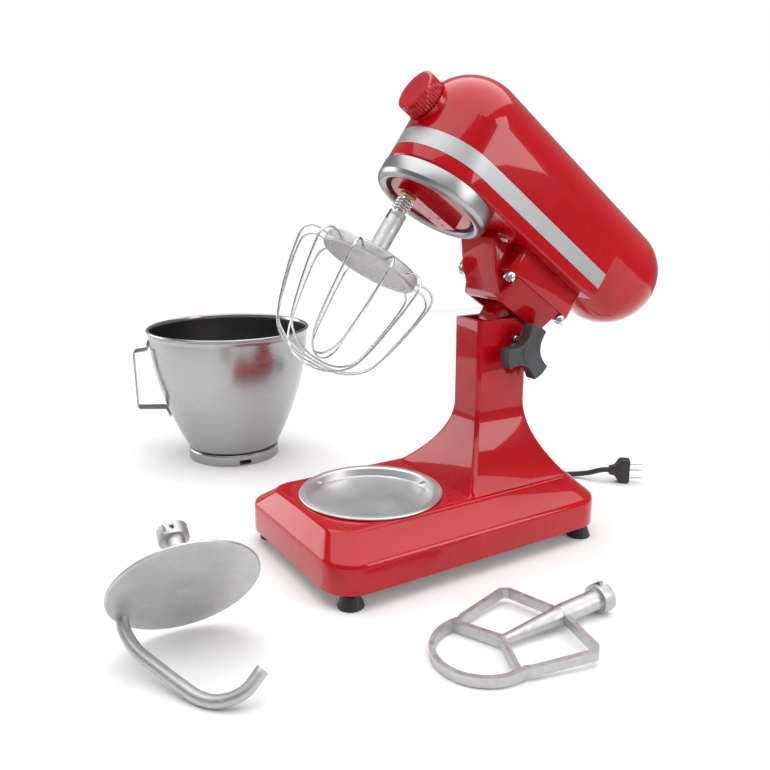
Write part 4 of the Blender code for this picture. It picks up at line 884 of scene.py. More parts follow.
def screwTree(coat):
    # cap screws with hexagon sockets on the points of a grid, heads down
    tree, given = newTree("socket screws", {
        "Span X": ("Float", 80.0), "Span Y": ("Float", 90.0), "Rows": ("Int", 2),
        "Head radius": ("Float", 6.5),
        "Head height": ("Float", 8.3), "Socket radius": ("Float", 3.0), "Socket depth": ("Float", 4.5),
        "Shank radius": ("Float", 4.0), "Shank length": ("Float", 34.0),
    })
    grid = geo(tree, "GeometryNodeMeshGrid", SizeX=pick(given, "Span X"), SizeY=pick(given, "Span Y"),
        VerticesX=2,
               VerticesY=pick(given, "Rows"))
    height, depth, reach = pick(given, "Head height"), pick(given, "Socket depth"), pick(given,
        "Shank length")
    head = geo(tree, "GeometryNodeMeshCylinder", Vertices=48, Radius=pick(given, "Head radius"),
        Depth=height)
    headPlace = vector(tree, 0.0, 0.0, mixed(tree, "MULTIPLY", height, -0.5))
    head = geo(tree, "GeometryNodeTransform", Geometry=pick(head, "Mesh"), Translation=headPlace)
    shank = geo(tree, "GeometryNodeMeshCylinder", Vertices=32, Radius=pick(given, "Shank radius"),
        Depth=reach)
    shankPlace = vector(tree, 0.0, 0.0, mixed(tree, "MULTIPLY", reach, 0.49))
    shank = geo(tree, "GeometryNodeTransform", Geometry=pick(shank, "Mesh"), Translation=shankPlace)
    socket = geo(tree, "GeometryNodeMeshCylinder", Vertices=6, Radius=pick(given, "Socket radius"),
        Depth=depth)
    low = mixed(tree, "SUBTRACT", mixed(tree, "MULTIPLY", depth, 0.45), height)
    socket = geo(tree, "GeometryNodeTransform", Geometry=pick(socket, "Mesh"),
        Translation=vector(tree, 0.0, 0.0, low))
    whole = tree.nodes.new("GeometryNodeMeshBoolean")
    whole.operation = "UNION"
    tree.links.new(pick(head, "Geometry"), whole.inputs["Mesh 2"])
    tree.links.new(pick(shank, "Geometry"), whole.inputs["Mesh 2"])
    screw = tree.nodes.new("GeometryNodeMeshBoolean")
    screw.operation = "DIFFERENCE"
    tree.links.new(whole.outputs["Mesh"], screw.inputs["Mesh 1"])
    tree.links.new(pick(socket, "Geometry"), screw.inputs["Mesh 2"])
    many = geo(tree, "GeometryNodeInstanceOnPoints", Points=pick(grid, "Mesh"),
        Instance=screw.outputs["Mesh"])
    closeTree(tree, pick(many, "Instances"), coat)
    return tree


screws = screwTree(coats["brightSteel"])
print("feet and screw tree made")


# Hinge and clamp

clamp = {"arm": 32.0, "tipWidth": 23.0, "heading": 66.0, "thickness": 14.0, "waist": 15.0, "hub": 11.0}


def makeHinge(c, j, k):
    cheek, r = c["width"] / 2 + fit["gap"], j["bolt"]
    profile = [(0, -cheek - 7), (8, -cheek - 7), (8, -cheek), (r, -cheek), (r, cheek + 20), (0, cheek + 20)]
    bolt = turned("hingeBolt", profile, hinge, (1, 0, 0), 0.8, 48)
    hexagon = rod("boltSocket", 4.2, hinge - Vector((cheek + 8, 0, 0)),
        hinge - Vector((cheek + 3.5, 0, 0)), 6)
    cut(bolt, hexagon)
    finish(bolt, onStand, "stand", coats["brightSteel"], ["hinge_bolt"])
    r, gap = j["cheekScrew"], fit["gap"]
    profile = [(0, -5.5), (r, -5.5), (r, gap), (r + 1.5, gap), (r + 1.5, 2.3), (r + 0.7, 3), (0, 3)]
    place = Vector((c["width"] / 2, hinge.y - 1, hinge.z + 13))
    screw = turned("cheekScrew", profile, place, (1, 0, 0), 0.4, 32)
    cut(screw, rod("screwSocket", 1.7, place + Vector((1.6, 0, 0)), place + Vector((4, 0, 0)), 6))
    finish(screw, onStand, "stand", coats["brightSteel"], ["cheek_screw"])
    face = c["width"] / 2 + gap
    bore = j["bolt"] + gap
    start = hinge + Vector((face, 0, 0))
    washer = turned("clampWasher", [(bore, 0), (k["hub"] - 2, 0), (k["hub"] - 2, 1.5), (bore, 1.5)],
        start, (1, 0, 0), 0.3, 48)
    finish(washer, onStand, "clamp_knob", coats["seatSteel"], ["clamp_washer"])


def knobOutline(k):
    half = math.degrees(math.asin(k["tipWidth"] / 2 / k["arm"]))
    centre = (hinge.y, hinge.z)
    points = []
    for lobe in range(3):
        ahead = k["heading"] + 120 * lobe
        tip = arc(centre, k["arm"] - 0.4, ahead - half, ahead + half, 8)
        points += tip
        start = Vector(points[-1])
        last = Vector(arc(centre, k["arm"] - 0.4, ahead + 120 - half, ahead + 120 - half, 1)[0])
        waist = Vector(arc(centre, k["waist"], ahead + 60, ahead + 60, 1)[0])
        pull = 2 * waist - (start + last) / 2
        for t in [i / 12 for i in range(1, 12)]:
            points.append(tuple(start * (1 - t) ** 2 + pull * 2 * t * (1 - t) + last * t * t))
    return points


def makeKnob(c, j, k):
    face, bore = c["width"] / 2 + fit["gap"], j["bolt"] + fit["gap"]
    low = face + 1.5 + fit["gap"]
    neck = low + 9
    cap, end = neck + k["thickness"], face + 23
    hub = [(bore, low), (k["hub"] - 2, low), (k["hub"], neck), (k["hub"], cap + 1), (0, cap + 1),
        (0, end), (bore, end)]
    knob = lathe("clampKnob", hub, (0, hinge.y, hinge.z), (1, 0, 0), 64)
    lobes = sidePlate("lobes", knobOutline(k), neck, cap)
    join(knob, lobes)
    cut(knob, rod("thread", bore, (face, hinge.y, hinge.z), (end, hinge.y, hinge.z), 64))
    easeEdges(knob, 1.3, 3, 40)
    finish(knob, onStand, "clamp_knob", coats["knobPlastic"], ["clamp_knob"], 45)


makeHinge(column, joint, clamp)
makeKnob(column, joint, clamp)
print("clamp made")


# Head

head = {
    "radius": 62.0, "back": 329.0, "case": 300.0, "caseLength": 209.0, "bandLow": 315.0, "bandTop": 334.0,
    "axis": 366.0,
    "wall": 3.5, "bandThick": 2.0, "bezel": 21.0, "floor": 4.0, "softEdge": 2.6,
}
neck = {"half": 47.0, "front": 99.0, "back": 205.0, "flange": 30.0, "screwInset": 6.5, "hood": 5.5}
caseScrew = {"place": (40.0, 76.0), "pad": 9.0, "padHeight": 6.0, "radius": 2.0}
dial = {"radius": 22.5, "length": 17.5, "z": 363.0, "boss": 1.5, "flutes": 40, "spindle": 3.5}


def noseLoop(radius, length, z, count=48):
    nose = [(x, y, z) for x, y in arc((0, 0), radius, 180, 360, count)]
    side = [(radius, length * k / 12, z) for k in range(1, 13)]
    return nose + side + [(-x, y, z) for x, y, _ in reversed(side)]


def makeCase(h):
    inner, ledge, gap = h["radius"] - h["bandThick"] - fit["gap"], h["bandLow"] - fit["gap"], fit["gap"]
    loops = []
    soft, steps = h["softEdge"], 6
    for k in range(steps + 1):
        a = math.radians(90 * k / steps)
        radius = h["radius"] - soft * (1 - math.sin(a))
        loops.append(noseLoop(radius, h["caseLength"] - 4 + 3 * math.sin(a),
            h["case"] + soft * (1 - math.cos(a))))
    loops.append(noseLoop(h["radius"], h["caseLength"], ledge))
    loops.append(noseLoop(inner, h["caseLength"] - 1, ledge))
    loops.append(noseLoop(inner, h["caseLength"] - 1, h["bandTop"] - gap))
    body = loft("headCase", loops)
    wall = inner - h["wall"]
    hollow = [noseLoop(wall, h["caseLength"] - 5, z) for z in (h["case"] + h["floor"],
        h["bandTop"] + fit["past"])]
    cut(body, loft("caseHollow", hollow))
    s = caseScrew
    for side in (-1, 1):
        spot = Vector((side * s["place"][0], s["place"][1], h["case"]))
        profile = [(0, -s["padHeight"]), (s["pad"] - 0.8, -s["padHeight"]),
            (s["pad"], -s["padHeight"] + 0.8), (s["pad"] + 0.6, 2), (0, 2)]
        join(body, lathe(f"pad{side}", profile, spot, (0, 0, 1), 48))
        cut(body, rod(f"padHole{side}", s["radius"] + gap, spot - Vector((0, 0, 12)),
            spot + Vector((0, 0, 12)), 32))
    cut(body, rod("shaftHole", 18.3, (0, 0, h["case"] - 5), (0, 0, h["case"] + 9), 64))
    return finish(body, onHead, "head", coats["redEnamel"], ["head_case"], 35)


def makeBand(h):
    outer = [noseLoop(h["radius"], h["caseLength"], z) for z in (h["bandLow"], h["bandTop"] - fit["gap"])]
    band = loft("trimBand", outer)
    inner = h["radius"] - h["bandThick"]
    hole = [noseLoop(inner, h["caseLength"] + fit["past"], z) for z in (h["bandLow"] - 5, h["bandTop"] + 5)]
    cut(band, loft("bandHole", hole))
    return finish(band, onHead, "head", coats["satinStripe"], ["trim_band"], 30)


def capsule(name, h, radius, back):
    rows, steps = 28, 96
    outline = []
    for k in range(1, rows + 1):
        a = math.radians(90 * k / rows - 90)
        outline.append((radius * math.sin(a), radius * math.cos(a)))
    for k in range(rows):
        a = math.radians(90 * k / rows)
        outline.append((back - radius + radius * math.sin(a), radius * math.cos(a)))
    points, rings, faces = [(0, -radius, h["axis"])], [], []
    for y, r in outline:
        rings.append(range(len(points), len(points) + steps))
        for i in range(steps):
            a = 2 * math.pi * i / steps
            points.append((r * math.cos(a), y, h["axis"] + r * math.sin(a)))
    tip = len(points)
    points.append((0, back, h["axis"]))
    for i in range(steps):
        j = (i + 1) % steps
        faces.append((0, rings[0][i], rings[0][j]))
        for near, far in zip(rings, rings[1:]):
            faces.append((near[i], far[i], far[j], near[j]))
        faces.append((rings[-1][i], tip, rings[-1][j]))
    return solid(name, points, faces)


def dialAxis(distance):
    return Vector((0, -head["radius"] - dial["boss"] - distance, dial["z"]))


def makeCover(h, d):
    cover = capsule("headCover", h, h["radius"], h["back"])
    join(cover, loft("skirt", [noseLoop(h["radius"], h["caseLength"], z) for z in (h["bandTop"],
        h["axis"])]))
    join(cover, rod("dialBoss", d["radius"] + d["boss"] / 2, dialAxis(-20), dialAxis(0), 96))
    reach = h["radius"] + 15
    cut(cover, block("belowBand", (-reach, -reach, h["axis"] - reach),
        (reach, h["caseLength"] + fit["gap"], h["bandTop"])))
    inside = h["radius"] - h["wall"]
    cut(cover, capsule("inside", h, inside, h["back"] - h["wall"]))
    cut(cover, loft("skirtInside", [noseLoop(inside, h["caseLength"] - 4, z) for z in (h["bandTop"] - 5,
        h["axis"])]))
    cut(cover, rod("spindleHole", d["spindle"] + fit["gap"], dialAxis(-20), dialAxis(5), 32))
    return finish(cover, onHead, "head", coats["redEnamel"], ["head_cover"], 32)


def dialTree(coat):
    # a knob whose flank carries shallow flutes, deeper towards the head
    tree, given = newTree("fluted dial", {
        "Radius": ("Float", 22.0), "Length": ("Float", 17.0), "Flutes": ("Int", 40),
        "Depth": ("Float", 0.35),
    })
    length = pick(given, "Length")
    body = geo(tree, "GeometryNodeMeshCylinder", Vertices=320, SideSegments=10, FillSegments=4,
        Radius=pick(given, "Radius"),
               Depth=length)
    where = geo(tree, "GeometryNodeInputPosition")
    apart = tree.nodes.new("ShaderNodeSeparateXYZ")
    tree.links.new(where.outputs[0], apart.inputs[0])
    x, y, z = apart.outputs
    wave = mixed(tree, "COSINE", mixed(tree, "MULTIPLY", mixed(tree, "ARCTAN2", y, x),
        pick(given, "Flutes")), 0)
    dip = mixed(tree, "MULTIPLY", mixed(tree, "ADD", wave, -1),
        mixed(tree, "DIVIDE", pick(given, "Depth"), pick(given, "Radius")))
    inner = mixed(tree, "SMOOTH_MAX", 0.0, mixed(tree, "SUBTRACT", 0.42, mixed(tree, "DIVIDE", z, length)))
    shrink = mixed(tree, "ADD", 1.0, mixed(tree, "MULTIPLY", dip, inner))
    spot = vector(tree, mixed(tree, "MULTIPLY", x, shrink), mixed(tree, "MULTIPLY", y, shrink), z)
    fluted = geo(tree, "GeometryNodeSetPosition", Geometry=pick(body, "Mesh"), Position=spot)
    closeTree(tree, pick(fluted, "Geometry"), coat)
    return tree


def makeDial(d):
    length = d["length"] - fit["gap"]
    knob = grown("speedKnob", dialTree(coats["redEnamel"]), {
        "Radius": d["radius"] - 0.1, "Length": length, "Flutes": d["flutes"], "Depth": 0.9,
    })
    stand = Matrix.Translation(dialAxis(fit["gap"] + length / 2)) @ Matrix.Rotation(math.radians(90), 4,
        "X")
    knob.data.transform(stand)
    easeEdges(knob, 0.7, 3, 50)
    join(knob, rod("spindle", d["spindle"], dialAxis(-14), dialAxis(1), 32))
    return finish(knob, onHead, "speed_knob", coats["redEnamel"], ["speed_knob"], 40)


def makeBezel(h):
    outer, inner, top = h["radius"] + 1, 51.5, h["case"] - fit["gap"]
    low = top - h["bezel"]
    profile = [(inner, low + 3), (inner + 2, low + 1), (outer - 6, low), (outer - 2, low + 2),
        (outer, low + 6), (outer, top), (inner, top)]
    bezel = turned("bezelRing", profile, edge=1.0, steps=160)
    return finish(bezel, onHead, "head", coats["bezelSteel"], ["bezel_ring"], 30)


makeCase(head)
makeBand(head)
makeCover(head, dial)
makeDial(dial)
makeBezel(head)
print("head made")


def makeNeck(h, n, c, j):
    top = h["case"] - fit["gap"]
    low, half = top - n["flange"], n["half"]
    outline = softCornered(-half, half, n["front"], n["back"], 6, low, 8)
    body = loft("neckBracket", [outline, [(x, y, top) for x, y, _ in outline]])
    cheek, rim = c["width"] / 2 + n["hood"], c["top"] - 6
    front, back, shoulder = n["front"] + 15, n["back"] - 15, half - 1
    narrow = [(-cheek, front, rim), (cheek, front, rim), (cheek, back, rim), (-cheek, back, rim)]
    wide = [(-shoulder, front), (shoulder, front), (shoulder, back), (-shoulder, back)]
    join(body, loft("skirtBlock", [narrow, [(x, y, low + 2) for x, y in wide]]))
    nose = [(front - 44, top), (front - 43, top - 9), (front - 21, low - 4), (front - 6, rim + 11),
        (front + 6, rim + 1), (front + 6, top)]
    join(body, sidePlate("nose", nose, -cheek, cheek))
    reach = math.hypot(c["front"] - hinge.y, c["top"] - hinge.z) + 1.5
    ceiling = c["top"] + 3
    turn = 180 - math.degrees(math.asin((ceiling - hinge.z) / reach))
    hollow = [(back + fit["past"], hinge.z), (back + fit["past"], ceiling)] + arc((hinge.y, hinge.z),
        reach, turn, 185, 24)
    inside = c["width"] / 2 + fit["clearance"]
    cut(body, sidePlate("hood", hollow, -inside, inside))
    knuckle = arc((hinge.y, hinge.z), j["knuckle"], 180, 360, 32)
    knuckle += [(hinge.y + j["knuckle"] - 6, ceiling + 2), (hinge.y - 34, ceiling + 2),
        (hinge.y - 42, hinge.z + 28)]
    knuckle += [(hinge.y - 42, hinge.z + 12), (hinge.y - 34, hinge.z + 9)]
    join(body, sidePlate("knuckle", knuckle, -j["knuckleWidth"] / 2, j["knuckleWidth"] / 2))
    wide = j["knuckleWidth"] / 2 + fit["past"]
    cut(body, rod("knuckleBolt", j["bolt"] + fit["gap"], (-wide, hinge.y, hinge.z),
        (wide, hinge.y, hinge.z)))
    for x in (-1, 1):
        for y in (n["front"] + 7, n["back"] - 7):
            spot = (x * (half - n["screwInset"]), y)
            cut(body, rod(f"neckHole{x}{y:.0f}", 4.3, (*spot, low - 5), (*spot, top + 5), 32))
    easeEdges(body, 1.6, 3, 30)
    return finish(body, onHead, "head", coats["redEnamel"], ["neck_bracket"], 40)


def makeScrews(n, s, h):
    side = n["half"] - n["screwInset"]
    front, rear = n["front"] + 7, n["back"] - 7
    low = h["case"] - fit["gap"] - n["flange"] - fit["gap"]
    neckScrews = grown("neckScrews", screws, {
        "Span X": 2 * side, "Span Y": rear - front, "Rows": 2, "Head radius": s["head"],
        "Head height": s["headHeight"],
        "Socket radius": s["socket"], "Socket depth": s["socketDepth"], "Shank radius": s["shank"],
        "Shank length": s["shankLength"],
    })
    neckScrews.data.transform(Matrix.Translation((0, (front + rear) / 2, low)))
    easeEdges(neckScrews, 0.6, 2, 50)
    names = [f"neck_screw_{a}_{b}" for a in ("front", "rear") for b in ("left", "right")]
    finish(neckScrews, onHead, "head", coats["brightSteel"], names, 35)
    k = caseScrew
    small = grown("caseScrews", screws, {
        "Span X": 2 * k["place"][0], "Span Y": 0.0, "Rows": 1, "Head radius": k["radius"] + 2.4,
        "Head height": 2.9,
        "Socket radius": 2.0, "Socket depth": 1.9, "Shank radius": k["radius"], "Shank length": 9.8,
    })
    small.data.transform(Matrix.Translation((0, k["place"][1], h["case"] - k["padHeight"] - fit["gap"])))
    easeEdges(small, 0.5, 2, 50)
    finish(small, onHead, "head", coats["brightSteel"],
        ["case_screw_left", "case_screw_right"], 35)


makeNeck(head, neck, column, joint)
makeScrews(neck, socketScrew, head)
print("neck made")


# Drive that shows inside the bezel

drive = {"offset": 28.0, "gearLow": 290.7, "carrier": 6.0, "ringOuter": 51.2, "boss": 9.0,
    "bossRadius": 13.0, "shaft": 6.0,
         "sleeveTop": 254.0, "springRadius": 8.0, "springWire": 0.9, "springTurns": 4}


def makeCarrier(d):
    low = d["gearLow"] - 1 - d["carrier"]
    top, radius, nose, wide = low + d["carrier"], d["ringOuter"] + 0.3 - 4, low - d["boss"], d["bossRadius"]
    disc = [(0, low), (radius - 1, low), (radius, low + 1), (radius, top), (0, top)]
    body = lathe("planetCarrier", disc, steps=128)
    join(body, block("arm", (-wide, -d["offset"] - 2, nose), (wide, radius - 14, low + 2)))
    join(body, rod("armEnd", wide, (0, -d["offset"], nose), (0, -d["offset"], low + 2), 64))
    cut(body, rod("shaftBore", d["shaft"] + fit["gap"], (0, -d["offset"], nose - 5),
        (0, -d["offset"], top + 5), 48))
    for k, spot in enumerate(((8, 12), (-8, 12), (0, 26))):
        cut(body, rod(f"pinHole{k}", 1.6, (*spot, nose - 2), (*spot, nose + 4), 24))
    easeEdges(body, 0.9, 3, 40)
    return finish(body, onHead, "carrier", coats["redEnamel"], ["planet_carrier"], 40)


def springTree(coat):
    tree, given = newTree("coil spring", {
        "Turns": ("Float", 4.0), "Radius": ("Float", 8.0), "Height": ("Float", 17.0),
        "Wire": ("Float", 0.9),
    })
    line = geo(tree, "GeometryNodeCurveSpiral", Resolution=40, Rotations=pick(given, "Turns"),
        StartRadius=pick(given, "Radius"),
               EndRadius=pick(given, "Radius"), Height=pick(given, "Height"))
    ring = geo(tree, "GeometryNodeCurvePrimitiveCircle", Resolution=14, Radius=pick(given, "Wire"))
    tube = geo(tree, "GeometryNodeCurveToMesh", Curve=pick(line, "Curve"),
        ProfileCurve=pick(ring, "Curve"), FillCaps=True)
    closeTree(tree, pick(tube, "Mesh"), coat)
    return tree


def makeToolShaft(d):
    low, top = d["sleeveTop"] - 37, d["gearLow"] + 8
    centre = (0, -d["offset"], 0)
    profile = [(0, low), (d["shaft"], low), (d["shaft"], top), (0, top)]
    shaft = turned("toolShaft", profile, centre, edge=1.0, steps=64)
    finish(shaft, onHead, "tool", coats["brightSteel"], ["tool_shaft"])
    thrust = d["gearLow"] - 1 - d["carrier"] - d["boss"] - 0.5
    collar = [(6.3, thrust - 2.5), (9, thrust - 2.5), (9, thrust), (6.3, thrust)]
    ring = turned("shaftCollar", collar, centre, edge=0.4, steps=64)
    finish(ring, onHead, "tool", coats["brass"], ["shaft_collar"])
    start, high = d["sleeveTop"] + 3, thrust - 4
    spring = grown("toolSpring", springTree(coats["whiskSteel"]), {
        "Turns": float(d["springTurns"]), "Radius": d["springRadius"], "Height": high - start,
        "Wire": d["springWire"],
    })
    spring.data.transform(Matrix.Translation((0, -d["offset"], start)))
    finish(spring, onHead, "tool", coats["brightSteel"], ["tool_spring"])


makeCarrier(drive)
makeToolShaft(drive)
print("drive made")


# Whisk

whisk = {"hub": 52.0, "hubZ": 196.0, "hubHeight": 13.0, "sleeve": 9.5, "bore": 6.3, "socket": 38.0,
    "loops": 6, "wire": 1.15,
         "shoulder": 76.0, "bottom": 74.5, "stagger": 3.1}


def makeHub(w, d):
    centre = (0, -d["offset"], 0)
    low, top, hub = w["hubZ"] - w["hubHeight"] / 2, w["hubZ"] + w["hubHeight"] / 2, w["hub"]
    mouth = d["sleeveTop"]
    deep = mouth - w["socket"]
    profile = [(0, low + 1.2), (hub - 9, low + 1.2), (hub - 8, low), (hub - 2, low), (hub, low + 2),
        (hub, top - 2), (hub - 2, top)]
    profile += [(hub - 8, top), (hub - 9, top - 1), (w["sleeve"] + 6, top - 1), (w["sleeve"], top + 1.5),
        (w["sleeve"], mouth - 6)]
    profile += [(w["sleeve"] - 0.6, mouth - 5.6), (w["sleeve"] - 0.6, mouth - 4.8),
        (w["sleeve"], mouth - 4.4), (w["sleeve"], mouth)]
    profile += [(w["bore"], mouth), (w["bore"], deep), (0, deep)]
    hubBody = turned("whiskHub", profile, centre, edge=0.7, steps=128)
    for k in range(w["loops"] * 2):
        out = heading(180 * (k + 0.5) / w["loops"])
        spot = Vector(centre) + out * (hub - 5) + Vector((0, 0, top))
        cut(hubBody, rod(f"pinDot{k}", 1.3, spot - Vector((0, 0, 0.7)), spot + Vector((0, 0, 2)), 16))
    cut(hubBody, block("slot", (-2, -d["offset"] - 12, mouth - 12), (2, -d["offset"] + 12, mouth + 1)))
    easeEdges(hubBody, 0.3, 1, 60)
    return finish(hubBody, onHead, "whisk", coats["castAluminium"], ["whisk_hub"], 35)


def whiskTree(coat):
    # one wire loop, turned and shortened step by step so that the loops cross clear of each other
    tree, given = newTree("whisk loops", {
        "Loops": ("Int", 6), "Shorten": ("Float", 0.025), "Wire": ("Float", 1.3),
        "First turn": ("Float", 0.26),
    })
    count = pick(given, "Loops")
    points = geo(tree, "GeometryNodeMeshLine", Count=count)
    points.inputs["Offset"].default_value = (0, 0, 0)
    index = geo(tree, "GeometryNodeInputIndex").outputs[0]
    turn = mixed(tree, "ADD", pick(given, "First turn"), mixed(tree, "MULTIPLY", index,
        mixed(tree, "DIVIDE", math.pi, count)))
    size = mixed(tree, "SUBTRACT", 1.0, mixed(tree, "MULTIPLY", index, pick(given, "Shorten")))
    rotation = tree.nodes.new("FunctionNodeEulerToRotation")
    tree.links.new(vector(tree, 0.0, 0.0, turn), rotation.inputs[0])
    many = geo(tree, "GeometryNodeInstanceOnPoints", Points=pick(points, "Mesh"),
        Instance=pick(given, "Geometry"),
               Rotation=rotation.outputs[0], Scale=vector(tree, 1.0, 1.0, size))
    lines = geo(tree, "GeometryNodeRealizeInstances", Geometry=pick(many, "Instances"))
    ring = geo(tree, "GeometryNodeCurvePrimitiveCircle", Resolution=14, Radius=pick(given, "Wire"))
    tube = geo(tree, "GeometryNodeCurveToMesh", Curve=pick(lines, "Geometry"),
        ProfileCurve=pick(ring, "Curve"), FillCaps=True)
    closeTree(tree, pick(tube, "Mesh"), coat)
    return tree


def makeWires(w, d):
    start, wide = w["hub"] - 1.5, w["shoulder"]
    deep = w["bottom"] - w["hubZ"]
    half = [(start, 0), (w["hub"] + 0.3, 0), (w["hub"] + 12, 1), (wide - 4, -3), (wide, -14),
        (wide - 6, -50)]
    half += [(wide * 0.74, deep + 26), (wide * 0.53, deep + 9), (wide * 0.26, deep + 1.5)]
    route = [(r, 0, z) for r, z in half] + [(0, 0, deep)] + [(-r, 0, z) for r, z in reversed(half)]
    path = smoothPath(route, 4)
    data = bpy.data.curves.new("whiskLoop", "CURVE")
    data.dimensions = "3D"
    spline = data.splines.new("POLY")
    spline.points.add(len(path) - 1)
    for target, point in zip(spline.points, path):
        target.co = (*point, 1)
    shorten = w["stagger"] / (w["hubZ"] - w["bottom"])
    wires = grown("whiskWires", whiskTree(coats["whiskSteel"]), {
        "Loops": w["loops"], "Shorten": shorten, "Wire": w["wire"], "First turn": math.pi / w["loops"] / 2,
    }, data)
    wires.data.transform(Matrix.Translation((0, -d["offset"], w["hubZ"])))
    names = [f"whisk_wire_{k + 1}" for k in range(w["loops"])]
    return finish(wires, onHead, "whisk", coats["whiskSteel"], names, 50)


makeHub(whisk, drive)
makeWires(whisk, drive)
print("whisk made")


# Bowl

bowl = {"place": (-395.0, -4.0), "radius": 116.0, "height": 194.0, "footRadius": 66.0, "footHeight": 15.0,
    "baseRadius": 64.5,
        "overhang": 3.0, "sheet": 1.5, "notches": 3, "notchHeading": -12.0, "notchWidth": 6.5,
        "notchRun": 10.0, "lugHeight": 5.5}
handle = {"width": 22.0, "reach": 20.0, "top": 163.0, "low": 79.0, "heading": -108.0, "half": 1.1}


def bowlWall(b, z):
    floor = b["footHeight"] + 2
    share = min(max((z - floor) / (b["height"] - 6 - floor), 0), 1)
    spreadOut = b["radius"] - b["overhang"] - b["baseRadius"]
    return b["baseRadius"] + spreadOut * (1 - (1 - share) ** 1.9)


def makeBowl(b):
    centre = (*b["place"], 0)
    floor, rim, height, sheet = b["footHeight"] + 2, b["radius"], b["height"], b["sheet"]
    levels = [floor + (height - 6 - floor) * (k / 40) ** 1.25 for k in range(41)]
    outer = [(0, floor), (b["baseRadius"] - 8, floor), (b["baseRadius"] - 3, floor + 0.1)]
    outer += [(bowlWall(b, z) - (0.7 if k == 0 else 0), z + (0.4 if k == 0 else 0)) for k,
        z in enumerate(levels)]
    inner = [(r - sheet, z + sheet * (height - z) / height) for r, z in outer[::-1]]
    inner[-1] = (0, floor + sheet)
    bead = arc((rim - 2.2, height - 2.4), 2.2, -80, 150, 14)
    body = lathe("bowlShell", outer + bead + inner, centre, steps=192)
    finish(body, onStand, "bowl", coats["bowlSteel"], ["bowl"], 40)
    # painted shade: a second, darker steel finish for the inside of the bowl
    body.data.materials.append(coats["shadedBowlInside"])
    middle = onStand @ Vector(centre)
    for face in body.data.polygons:
        spoke = face.center - middle
        outwards = face.normal.dot(Vector((spoke.x, spoke.y, 0)).normalized())
        below = face.center.z < (height - 5) * millimetre
        if below and (outwards < -0.05 or (face.normal.z > 0.7 and outwards < 0.5)):
            face.material_index = 1  # painted shade: the inside faces take the darker copy of the bowl steel
    r, top, rest = b["footRadius"], b["footHeight"], b["baseRadius"] - 10
    profile = [(r - sheet, 0), (r, 0), (r, top - 1), (r - 1, top + 0.8), (r - 4, top + sheet),
        (rest, top + sheet), (rest, top)]
    profile += [(r - sheet - 1, top - 1)]
    ring = turned("bowlFoot", profile, centre, edge=0.5, steps=160)
    for k in range(b["notches"]):
        out = heading(b["notchHeading"] + 360 * k / b["notches"])
        across = Vector((-out.y, out.x, 0))
        middle = Vector(centre) + out * r
        wide, run = b["notchWidth"], b["notchRun"]
        flat = rounded([(-wide / 2, -2), (wide / 2, -2), (wide / 2, b["lugHeight"] - 3),
            (wide / 2 + run, b["lugHeight"] - 3),
                        (wide / 2 + run, b["lugHeight"] + 3), (-wide / 2, b["lugHeight"] + 3)], 1.4, 4,
                        closed=True)
        loops = [[middle + out * deep + across * p.x + Vector((0, 0, p.y)) for p in flat] for deep in (5,
            -5)]
        cut(ring, loft(f"notch{k}", loops))
    return finish(ring, onStand, "bowl", coats["bowlSteel"], ["bowl_foot"], 35)


def makeHandle(b, h):
    out = heading(h["heading"])
    across = Vector((-out.y, out.x, 0))
    near, reach = h["half"] + fit["gap"], b["radius"] + h["reach"]
    top, low = h["top"], h["low"]
    line = [(bowlWall(b, top + 13) + near + 0.5, top + 13), (bowlWall(b, top + 2) + near + 0.5, top + 2)]
    line += [(reach - 1.5, top), (reach - 2.5, low + 1)]
    line += [(bowlWall(b, low - 1) + near + 0.8, low - 1), (bowlWall(b, low - 14) + near + 0.8, low - 14)]
    bent = rounded(line, 5.5, 6)
    outline = thickLine([(p.x, p.y) for p in bent], h["half"])
    place = Vector((*b["place"], 0))
    loops = []
    for side in (h["width"] / 2, -h["width"] / 2):
        edge = place + across * side
        loops.append([edge + out * p.x + Vector((0, 0, p.y)) for p in outline])
    strap = loft("bowlHandle", loops)
    easeEdges(strap, 0.5, 2, 50)
    for k, z in enumerate((top + 8, low - 9)):
        foot = place + out * (bowlWall(b, z) + near + 0.4) + Vector((0, 0, z))
        profile = [(0, 0), (3.4, 0), (3.2, 1.7), (2.2, 2.3), (0, 2.6)]
        join(strap, lathe(f"rivet{k}", profile, foot, out, 32))
    return finish(strap, onStand, "bowl", coats["bowlSteel"], ["bowl_handle"], 40)


makeBowl(bowl)
makeHandle(bowl, handle)
print("bowl made")


# Loose tools

socketShape = {"sleeve": 9.5, "bore": 6.3, "depth": 38.0, "collar": 14.0}


def sleeveProfile(s, length, low):
    floor = length - s["depth"] + 6
    return [(0, low), (s["sleeve"], low), (s["sleeve"], length - 13), (s["collar"], length - 13),
        (s["collar"], length),
            (s["bore"], length), (s["bore"], floor), (0, floor)]


def bayonet(s, name, centre, axis, side, length):
    # an L-shaped slot through the collar
    side, axis = Vector(side), Vector(axis)
    across = axis.cross(side)
    flat = [(-2.6, 1), (2.6, 1), (2.6, -9), (-7, -9), (-7, -4.5), (-2.6, -4.5)]
    middle = Vector(centre) + axis * length
    loops = []
    for deep in (-s["collar"] - 3, s["collar"] + 3):
        loops.append([middle + side * deep + across * a + axis * b for a, b in flat])
    return loft(name, loops)


hook = {"place": (81.0, -233.5, 60.4), "across": (0.39, 0.829, 0.40), "axis": (-0.806, 0.0987, 0.51),
    "disc": 66.0, "rod": 5.5}
beater = {"place": (225.0, 2.0, 8.6), "up": (0.0, -0.05, 1.0), "bar": 5.0, "thickness": 9.0}


